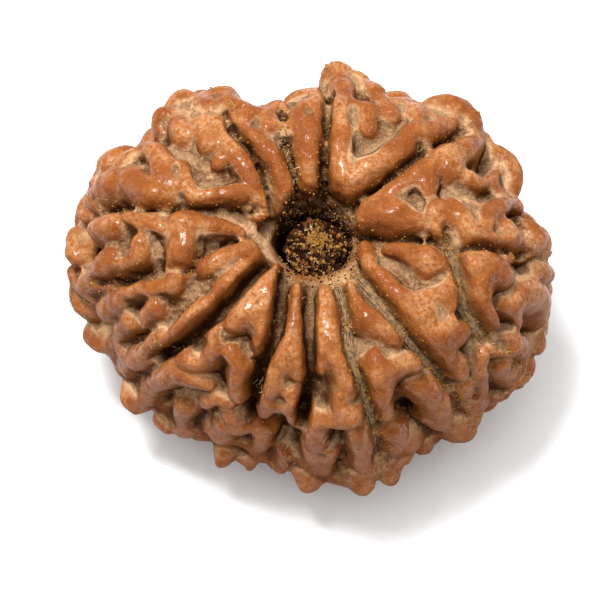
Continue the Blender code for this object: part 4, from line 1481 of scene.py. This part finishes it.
# The flanks' brown, partly the wood's own and partly painted shade; also the colour of the flecks.
BROWN_AND_FLANK_SHADE = (0.12, 0.035, 0.007)
# Painted shade on the walls that face sideways and down.
WALL_SHADE_BROWN = (0.095, 0.027, 0.004)
DUST = (0.5, 0.29, 0.15)
PALE_SPECK = (0.72, 0.52, 0.32)
# Near-black painted shade for creases, deep hollows and clefts, and the colour of the small dark pits.
SHADE_AND_PIT_BROWN = (0.014, 0.0038, 0.001)
# Painted shade inside the canal's mouth.
MOUTH_SHADE_BROWN = (0.015, 0.005, 0.0015)
GREY_WOOD = (0.26, 0.148, 0.06)


def waxy_wood_and_painted_shade(paint, masks):
    """Orange and red patches with brown flecks on the tops, brown flanks that are partly painted shade, and
    walls in a darker painted shade.
    """
    blotches = (0.6 * masks.patches + 0.4 * masks.mottle).between(0.38, 0.62)
    flecks = 0.5 * paint.noise(0.4, 4.0, 0.65).between(0.5, 0.66)
    waxy = paint.mix(flecks, paint.mix(blotches, WAXY_RED, WAXY_ORANGE), BROWN_AND_FLANK_SHADE)
    return paint.mix(0.8 * masks.wall, paint.mix(masks.top, BROWN_AND_FLANK_SHADE, waxy), WALL_SHADE_BROWN)


def stone_colour(paint, masks):
    """The waxy wood with dust, painted shade, dark pits, grey wood and specks laid over it, each by its mask.
    """
    colour = waxy_wood_and_painted_shade(paint, masks)
    # The crease, deep, seam and mouth layers are painted shade; the pits are dark pores.
    for mask, layer in (
        (masks.dust.larger(masks.haze), DUST),
        (masks.crease_shade * 0.45, SHADE_AND_PIT_BROWN),
        (masks.deep, SHADE_AND_PIT_BROWN),
        (masks.pits * 0.25, SHADE_AND_PIT_BROWN),
        (masks.seam, SHADE_AND_PIT_BROWN),
        (masks.strip * 0.7, GREY_WOOD),
        (masks.mouth, MOUTH_SHADE_BROWN),
        (masks.specks * (0.28 + 0.6 * masks.dust) * (1 - masks.deep), PALE_SPECK),
    ):
        colour = paint.mix(mask, colour, layer)
    return colour


# The clefts' colour here is their painted shade.
print("the wax is", round(WAXY_ORANGE[0] / SHADE_AND_PIT_BROWN[0]), "times as bright as the clefts")

# %% [markdown]
# ## The stone's shine
#
# The wax is a thin clear coat on the tops, worn off in places. Dust is rough and has none. A little light
# enters the wood and comes out redder, which Subsurface does. The smallest grains are only a bump, because
# they are too small to change the outline.

# %% Finish of the stone


def stone_finish():
    """The colours, a roughness that grows off the tops and in the dust, and the worn coat of wax."""
    paint = Paint("oiled_stone", 0.4)
    masks = stone_masks(paint)
    rough = 0.33 + 0.3 * (1 - masks.top) + 0.3 * masks.dust + 0.3 * (masks.grain - 0.5)
    paint.give({
        "Base Color": stone_colour(paint, masks),
        "Roughness": rough.smaller(0.95),
        "IOR": 1.4,
        "Specular IOR Level": 0.03,
        "Coat Weight": 0.4 * masks.worn * masks.top * (1 - masks.dust) * (1 - masks.wall),
        "Coat Roughness": 0.16,
        "Subsurface Weight": 0.12,
        "Subsurface Radius": (1.0, 0.35, 0.1),
        "Subsurface Scale": 0.6 * MM,
    })
    grains = paint.noise(0.12, 3.0) * (0.5 + 1.2 * masks.dust)
    paint.bump(masks.grain * 0.9 + masks.mottle * 0.9 + grains, 0.07)
    return paint.material


stone.data.materials.clear()
stone.data.materials.append(stone_finish())
print("finish:", stone.data.materials[0].name)

# %% [markdown]
# ## The pith in the canal
#
# The pith is the dried, crumbly strand that is left in the canal. It could be a cylinder, but its head
# swells into the mouth. So it is a grid of the azimuth and the height, whose radius is a blunt profile made
# uneven by noise. The azimuth runs backwards, so that the faces point outwards.

# %% The pith's column
PITH_RADIUS = 1.4
PITH_HEAD_GAIN = 0.35
PITH_TOP = 15.95
PITH_BOTTOM = 3.25
PITH_BLUNTNESS = 14
PITH_HEAD_SHARE = 0.12
PITH_CORE = (5, 14.5)
SMALLEST_BLUNT = 0.002


def pith_grid(around=72, rows=150):
    """Points of the pith: the radius is a superellipse of the height, widened at the head, plus noise."""
    azimuth = -np.linspace(0, 2 * np.pi, around, endpoint=False)[None]
    along = (1 - np.cos(np.linspace(0, np.pi, rows)[:, None])) / 2
    blunt = np.sqrt(np.maximum(1.0 - np.abs(2.0 * along - 1.0) ** PITH_BLUNTNESS, SMALLEST_BLUNT))
    radius = blunt * (PITH_RADIUS + PITH_HEAD_GAIN * bell(along - 1.0, PITH_HEAD_SHARE))
    x = CANAL_AT[0] + radius * np.cos(azimuth)
    y = CANAL_AT[1] + radius * np.sin(azimuth)
    height = PITH_BOTTOM + (PITH_TOP - PITH_BOTTOM) * along
    grid = np.stack([x, y, height + 0 * azimuth], axis=-1)
    flat = grid.reshape(-1, 3)
    lumps = 0.3 * smooth_noise(flat, 0.8, 7) + 0.12 * smooth_noise(flat, 0.25, 8) - 0.2
    core = np.zeros_like(flat) + (*CANAL_AT, 0)
    core[:, 2] = np.clip(flat[:, 2], *PITH_CORE)
    share = blunt.repeat(around, axis=1).reshape(-1, 1)
    return (flat + unit(flat - core) * lumps[:, None] * share).reshape(grid.shape)


def make_pith():
    """The column with both ends closed."""
    grid = pith_grid()
    points, faces = joined_grids([grid], False)
    return new_mesh("canal_pith", points, faces, MM, end_caps([grid]))


pith = make_pith()
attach(pith, "root")
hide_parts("pith")
print("the pith is", round(float(np.ptp(points_of(pith)[:, 2])) / MM, 1), "mm long")

# %% [markdown]
# ## The pith's finish
#
# Dry pulp is golden where it has torn and nearly black where it has shrunk. Noise mixes the two, and a
# pattern of cells paints shade into the gaps between its crumbs.

# %% Finish of the pith
PULP_BROWN = (0.10, 0.035, 0.015)
PULP_GOLD = (0.42, 0.25, 0.09)
# Painted shade in the gaps between the pith's crumbs.
PULP_GAP_SHADE = (0.05, 0.016, 0.008)


def pith_finish():
    """Brown and gold by noise, and painted shade between the cells."""
    paint = Paint("dry_pith", 0.85)
    grain = paint.noise(0.3, 4.0, 0.65)
    colour = paint.mix(grain.between(0.35, 0.62), PULP_BROWN, PULP_GOLD)
    paint.give({"Base Color": paint.mix(paint.cells(0.35).between(0.3, 0.6), colour, PULP_GAP_SHADE)})
    paint.bump(grain, 0.15)
    return paint.material


pith.data.materials.append(pith_finish())
print("finish:", pith.data.materials[0].name)

# %% [markdown]
# ## One crumb, many times
#
# Bits of dry pulp still stick in the clefts and in the mouth of the canal. Each crumb is an icosahedron of
# twenty faces whose corners are pulled in and out at random. Hundreds of them go into one mesh, worked out
# as one array of crumb, corner and axis.

# %% Crumbs as one mesh
GOLDEN = (0.34, 0.16, 0.035)
PALE_GOLD = (0.46, 0.30, 0.12)
RUSSET = (0.15, 0.05, 0.014)
DARK_PLUM = (0.025, 0.007, 0.003)
NEIGHBOUR_GAP = 2.1
STRETCHES = (0.6, 1.3)
RAGGED_CORNERS = (0.55, 1.35)
dice = np.random.default_rng(5)


def icosahedron():
    """The twelve corners, on a unit ball, and the twenty faces: each three corners that are neighbours."""
    golden = (1 + 5**0.5) / 2
    corners = [(a, b * golden, 0) for a in (-1, 1) for b in (-1, 1)]
    corners = np.array([np.roll(corner, turn) for turn in range(3) for corner in corners], float)
    near = np.linalg.norm(corners[:, None] - corners[None], axis=2) < NEIGHBOUR_GAP
    trios = itertools.combinations(range(len(corners)), 3)
    faces = np.array([(a, b, c) for a, b, c in trios if near[a, b] and near[b, c] and near[a, c]])
    corners = unit(corners)
    a, b, c = (corners[faces[:, at]] for at in range(3))
    inward = (np.cross(b - a, c - a) * a).sum(axis=1) < 0
    faces[inward] = faces[inward][:, ::-1]
    return corners, faces


def random_turns(count):
    """Random turning matrices: the Q of a table of random numbers, made right-handed."""
    turns = np.linalg.qr(dice.normal(size=(count, 3, 3)))[0]
    turns[:, :, 0] *= np.linalg.det(turns)[:, None]
    return turns


def mottled(paint, mask, colour, share):
    """The colour, and where the mask is 0 this share of it, as the paint's base colour."""
    shade = tuple(share * channel for channel in colour)
    paint.give({"Base Color": paint.mix(mask, shade, colour)})
    return paint.material


def make_crumbs(name, places, sizes, colour):
    """One mesh of a crumb at each place: corners pulled in or out, stretched, turned and made to size."""
    corners, faces = icosahedron()
    count = len(places)
    stretch = dice.uniform(*STRETCHES, (count, 1, 3))
    ragged = dice.uniform(*RAGGED_CORNERS, (count, len(corners), 1))
    shapes = np.einsum("nij,nkj->nki", random_turns(count), corners[None] * ragged * stretch)
    points = np.asarray(places)[:, None] + shapes * np.asarray(sizes)[:, None, None]
    steps = np.arange(count)[:, None, None] * len(corners)
    piece = new_mesh(name, points.reshape(-1, 3), (faces[None] + steps).reshape(-1, 3), MM)
    piece.data.polygons.foreach_set("use_smooth", np.zeros(len(piece.data.polygons), bool))
    paint = Paint(name, 0.8)
    paint.give({"Specular IOR Level": 0.05})
    piece.data.materials.append(mottled(paint, paint.noise(0.12, 2.0).between(0.35, 0.65), colour, 0.45))
    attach(piece, "root")
    print(count, name)


print("a crumb has", len(icosahedron()[1]), "faces")

# %% [markdown]
# ## Crumbs and dust in the clefts
#
# A crumb is dropped on the stone: a ray towards the body finds the skin below it. The crumbs lie along
# the clefts, as on the real stone, and fine pale grains lie further about. The dark clefts get only grains.

# %% Drop crumbs along the clefts
SKIN_HEIGHT = 3.0
SEEN_SHARE = 0.55


def dropped(places, ways):
    """Where each place lands on the skin when it moves against its way out. Misses are left out."""
    landed = []
    for place, way in zip(places, ways):
        hit = skin_tree.ray_cast(Vector(place + way * SKIN_HEIGHT), Vector(-way), 3 * SKIN_HEIGHT)[0]
        if hit:
            landed.append(hit)
    return np.array(landed)


def along_clefts(names, count, spread):
    """Random places beside these clefts' seen courses, and the way out of the body there."""
    seen = np.vstack([clefts[name][: int(len(clefts[name]) * SEEN_SHARE)] for name in names])
    places = seen[dice.integers(len(seen), size=count)] + dice.normal(scale=spread, size=(count, 3))
    return places, outwards(places)


pale_clefts = [name for name in clefts if name not in DARK_CLEFTS]
for name, courses, count, spread, low, high, colour in (
    ("cleft_crumbs", pale_clefts, 1300, 0.22, 0.03, 0.1, GOLDEN),
    ("strip_crumbs", STRIPS, 700, 0.25, 0.03, 0.09, GOLDEN),
    ("dust_grains", clefts, 1400, 0.8, 0.018, 0.045, PALE_GOLD),
):
    places = dropped(*along_clefts(courses, count, spread))
    make_crumbs(name, places, dice.uniform(low, high, len(places)), colour)

# %% [markdown]
# ## The crumbly head of the pith
#
# The pith's top is a heap of golden and plum-brown bits. They sit on the column's head and fill most of the
# mouth, thinner towards its left and upper side, where the photograph shows black gaps. A lighter clump
# stands on the heap.

# %% Heap crumbs on the pith
HEAP_CENTRE = (CANAL_AT[0] + 0.15, CANAL_AT[1] - 0.25)
HEAP_TOP = 15.9
HEAP_REACH = 1.85
HEAP_DROP = 0.6
HEAP_ROUGHNESS = 0.12
HEAP_LUMP = 0.45
CLUMP_CENTRE = (CANAL_AT[0] + 0.4, CANAL_AT[1])
CLUMP_REACH = 0.85
CLUMP_TOP = HEAP_TOP + 0.3


def heap(count, centre, reach, top):
    """Random places of a low dome: the height falls with the square of the distance from its middle."""
    distance = reach * np.sqrt(dice.uniform(0, 1, count))
    azimuth = dice.uniform(0, 2 * np.pi, count)
    x = centre[0] + distance * np.cos(azimuth)
    y = centre[1] + distance * np.sin(azimuth)
    z = top - HEAP_DROP * (distance / reach) ** 2 + dice.normal(scale=HEAP_ROUGHNESS, size=count)
    places = np.stack([x, y, z], axis=1)
    places[:, 2] += HEAP_LUMP * smooth_noise(places, 0.8, 41)
    return places


for name, count, colour, low, high in (
    ("pith_plum_crumbs", 620, DARK_PLUM, 0.05, 0.3),
    ("pith_red_crumbs", 420, RUSSET, 0.05, 0.24),
    ("pith_golden_crumbs", 520, GOLDEN, 0.04, 0.2),
    ("pith_pale_crumbs", 700, PALE_GOLD, 0.02, 0.1),
):
    sizes = low + (high - low) * dice.uniform(0, 1, count) ** 2.5
    make_crumbs(name, heap(count, HEAP_CENTRE, HEAP_REACH, HEAP_TOP), sizes, colour)
clump = heap(420, CLUMP_CENTRE, CLUMP_REACH, CLUMP_TOP)
make_crumbs("pith_golden_clump", clump, dice.uniform(0.03, 0.13, len(clump)), GOLDEN)

# %% [markdown]
# ## Spilled crumbs
#
# Handling has spilled crumbs round the mouth. Each spot below is a pixel of the view, a spread and a
# number. Only crumbs that land low on the stone stay, because the polished tops are clean. Half of them are
# golden and half are dark.

# %% Spill crumbs round the mouth
SPILLS = (
    (325, 281, 9, 130), (352, 256, 8, 120), (292, 270, 6, 70), (305, 213, 9, 130), (336, 222, 8, 110),
    (289, 150, 6, 60), (292, 178, 6, 60), (268, 385, 6, 30),
)
SPILL_LEVEL = 0.45


def scattered(spots):
    """Random places on the skin round each spot's pixel, with its own spread and number."""
    places = []
    for x, y, spread, count in spots:
        for across, down in dice.normal(scale=spread, size=(count, 2)):
            hit = sighted(skin_tree, in_view(x + across, y + down))
            if hit:
                places.append(hit)
    return np.array(places)


spills = scattered(SPILLS)
spills = spills[body_level(spills) < SPILL_LEVEL]
half = len(spills) // 2
dice.shuffle(spills)
make_crumbs("spilled_golden_crumbs", spills[:half], dice.uniform(0.025, 0.09, half), GOLDEN)
make_crumbs("spilled_dark_crumbs", spills[half:], dice.uniform(0.03, 0.11, len(spills) - half), DARK_PLUM)

# %% [markdown]
# ## Crumbs on the canal's wall
#
# Some pulp clings to the wall just below the mouth. Its places are random angles on the bare body, dropped
# on the skin, and those that land outside the mouth are left out.

# %% Crumbs in the mouth
MOUTH_REACH = 2.35
MOUTH_TURNS = (105, 150)


def round_mouth(count):
    """Random places on the canal's wall just below its mouth."""
    azimuth = dice.uniform(0, 2 * np.pi, count)
    turn = np.radians(dice.uniform(*MOUTH_TURNS, count))
    return on_body(azimuth, turn) + dice.normal(scale=0.1, size=(count, 3))


for name, count, colour in (("mouth_plum_crumbs", 500, DARK_PLUM), ("mouth_golden_crumbs", 420, GOLDEN)):
    places = round_mouth(count)
    places = dropped(places, outwards(places))
    places = places[from_canal(places) < MOUTH_REACH]
    make_crumbs(name, places, dice.uniform(0.03, 0.12, len(places)), colour)

# %% [markdown]
# ## Fibres
#
# Torn fibres of the pulp stand in tufts in some clefts and round the mouth, and on the pith. A fibre is a
# thin round profile along a bent path. All the fibres of a piece are worked out at once, as one array of
# fibre, step and side.

# %% Fibres as tubes
FIBRE_SIDES = 5
ASIDE = np.array([0.31, 0.52, 0.8])
THIN_END = 0.25


def tubes(paths, radii):
    """Tubes along many paths: at each step a ring of this radius across the path, thin at both ends."""
    along = unit(np.gradient(paths, axis=1))
    side = unit(np.cross(along, ASIDE))
    other = np.cross(side, along)
    angle = np.linspace(0, 2 * np.pi, FIBRE_SIDES, endpoint=False)
    share = np.linspace(0, 1, paths.shape[1])
    width = radii[:, None] * (THIN_END + (1 - THIN_END) * np.sin(np.pi * share) ** 0.5)[None]
    ring = side[:, :, None] * np.cos(angle)[:, None] + other[:, :, None] * np.sin(angle)[:, None]
    return paths[:, :, None] + ring * width[:, :, None, None]


def make_fibres(name, paths, radii, colour):
    """One mesh of all the fibres, with a mottled dry finish."""
    grids = tubes(paths, radii)
    points, faces = joined_grids(grids, False)
    piece = new_mesh(name, points, faces, MM, end_caps(grids))
    paint = Paint(name, 0.75)
    piece.data.materials.append(mottled(paint, paint.noise(0.3, 3.0).between(0.35, 0.6), colour, 0.4))
    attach(piece, "root")
    print(len(paths), name)


print("a fibre has", FIBRE_SIDES, "sides")

# %% [markdown]
# ## Tufts of pulp
#
# Each tuft below is a pixel of the view and a number of fibres. A fibre leans out of the stone at random
# and bends more and more towards its tip. The pith's own fibres start in its heap.

# %% Stand the fibres in tufts
FIBRE_STEPS = 9
FIBRE_LENGTHS = (0.2, 0.7)
FIBRE_RADII = (0.012, 0.035)
FIBRE_LEAN = 0.5
FIBRE_BEND = 0.35
FIBRE_BURIED = 0.2
TUFT_SPREAD = 5.0
PITH_FIBRES = 120
PITH_FIBRE_REACH = 0.8 * HEAP_REACH
TUFTS = (
    (160, 345, 8), (262, 385, 10), (290, 440, 9), (291, 456, 7), (330, 440, 8), (345, 325, 10),
    (490, 341, 7), (493, 352, 7), (300, 300, 6), (352, 300, 6), (280, 222, 8), (345, 232, 10),
    (300, 215, 8), (283, 268, 8), (325, 282, 7), (345, 262, 8), (236, 108, 4), (289, 150, 8),
    (292, 170, 8), (420, 156, 7), (268, 330, 5),
)


def bent_paths(starts, outs):
    """From each start a line that leans outwards at random, plus a bend that grows by the share squared."""
    lean = unit(dice.normal(size=starts.shape) + FIBRE_LEAN * outs)[:, None]
    bend = FIBRE_BEND * unit(dice.normal(size=starts.shape))[:, None]
    share = np.linspace(0, 1, FIBRE_STEPS)[None, :, None]
    length = dice.uniform(*FIBRE_LENGTHS, len(starts))[:, None, None]
    return starts[:, None] + length * (lean * (share - FIBRE_BURIED) + bend * share**2)


tufts = scattered([(x, y, TUFT_SPREAD, count) for x, y, count in TUFTS])
heaped = heap(PITH_FIBRES, HEAP_CENTRE, PITH_FIBRE_REACH, HEAP_TOP + 0.1)
for name, starts in (("pulp_fibres", tufts), ("pith_fibres", heaped)):
    paths = bent_paths(starts, outwards(starts))
    make_fibres(name, paths, dice.uniform(*FIBRE_RADII, len(starts)), PALE_GOLD)

# %% [markdown]
# ## The grey seams
#
# Three clefts show their woody seam as long grey strands, side by side. Each strand follows its cleft's
# course at its own distance from it and just above the strip's floor, and noise makes it wave.

# %% Grey strands along three seams
STRANDS = 11
STRAND_STEPS = 60
STRAND_RADIUS = 0.07
STRAND_SIZES = (0.6, 1.2)
STRAND_SHARES = (0.04, 0.5)
STRAND_WAVE = 0.08
STRAND_ROUNDING = 0.15
STRAND_HEIGHT = 0.12


def strand_paths():
    """Long paths along each of the three seams, side by side, laid on the skin."""
    paths = []
    for name in STRIPS:
        first, last = (int(len(clefts[name]) * share) for share in STRAND_SHARES)
        course = clefts[name][first:last]
        course = course[np.linspace(0, len(course) - 1, STRAND_STEPS).astype(int)]
        out = outwards(course)
        side = unit(np.cross(np.gradient(course, axis=0), out))
        for offset in np.linspace(-1, 1, STRANDS):
            wave = offset * STRIP_HALF_WIDTH + STRAND_WAVE * smooth_noise(course + 9 * offset, 1.2, 31)
            places = course + side * wave[:, None]
            level = STRIP_FLOOR + 0.05 * smooth_noise(course + 5 * offset, 0.7, 32)
            level = level - STRAND_ROUNDING * offset**2
            paths.append(places + out * (level[:, None] + STRAND_HEIGHT))
    return np.array(paths)


strands = strand_paths()
make_fibres("seam_strands", strands, dice.uniform(*STRAND_SIZES, len(strands)) * STRAND_RADIUS, GREY_WOOD)

# %% [markdown]
# ## The floor
#
# The photograph shows a plain white floor. One large square stands for it, with no shine, so that it only
# takes the stone's soft shadow.

# %% Floor
FLOOR_SIZE = 0.6


def make_floor():
    """A white square at the height of nothing."""
    half = FLOOR_SIZE / 2
    corners = [(-half, -half, 0), (half, -half, 0), (half, half, 0), (-half, half, 0)]
    floor = new_mesh("floor", corners, [(0, 1, 2, 3)])
    paint = Paint("white_floor", 0.9)
    paint.give({"Base Color": (0.9, 0.9, 0.9, 1.0), "Specular IOR Level": 0.0})
    floor.data.materials.append(paint.material)
    floor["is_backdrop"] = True


make_floor()
print("the floor is", FLOOR_SIZE, "m wide")

# %% [markdown]
# ## The light
#
# A studio picture like this one has soft light from all round. A small key light from the upper left
# gives the wax its glints and the stone its shadow to the lower right. A broad light overhead and a nearly
# white world fill the hollows.

# %% Lights
AIM = Vector((0, 0, 0.01))
LAMPS = (("key", (-0.07, 0.06, 0.33), 0.1, 1.75), ("overhead", (0.0, 0.02, 0.4), 0.45, 0.8))
WORLD_STRENGTH = 0.78


def make_light(name, place, size, power):
    """A square light at this place, turned to the stone."""
    data = bpy.data.lights.new(name, "AREA")
    data.shape = "SQUARE"
    data.size = size
    data.energy = power
    lamp = bpy.data.objects.new(name, data)
    lamp.location = place
    lamp.rotation_mode = "QUATERNION"
    lamp.rotation_quaternion = (Vector(place) - AIM).to_track_quat("Z", "Y")
    bpy.context.scene.collection.objects.link(lamp)


def make_world():
    """A white world of one strength, and colours shown as they are."""
    world = bpy.data.worlds.new("studio")
    world.use_nodes = True
    background = world.node_tree.nodes["Background"]
    background.inputs["Color"].default_value = (1.0, 1.0, 1.0, 1.0)
    background.inputs["Strength"].default_value = WORLD_STRENGTH
    bpy.context.scene.world = world
    bpy.context.scene.view_settings.view_transform = "Standard"


for lamp in LAMPS:
    make_light(*lamp)
make_world()
print(len(LAMPS), "lights and the world")

# %% [markdown]
# ## Does it still fit the solid?
#
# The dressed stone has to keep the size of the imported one, because other parts are placed by the solid.

# %% Compare the sizes and finish
looks_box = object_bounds()
for name, box in (("solid", cad_box), ("looks", looks_box)):
    print(name, [round(value / MM, 2) for corner in box for value in corner])
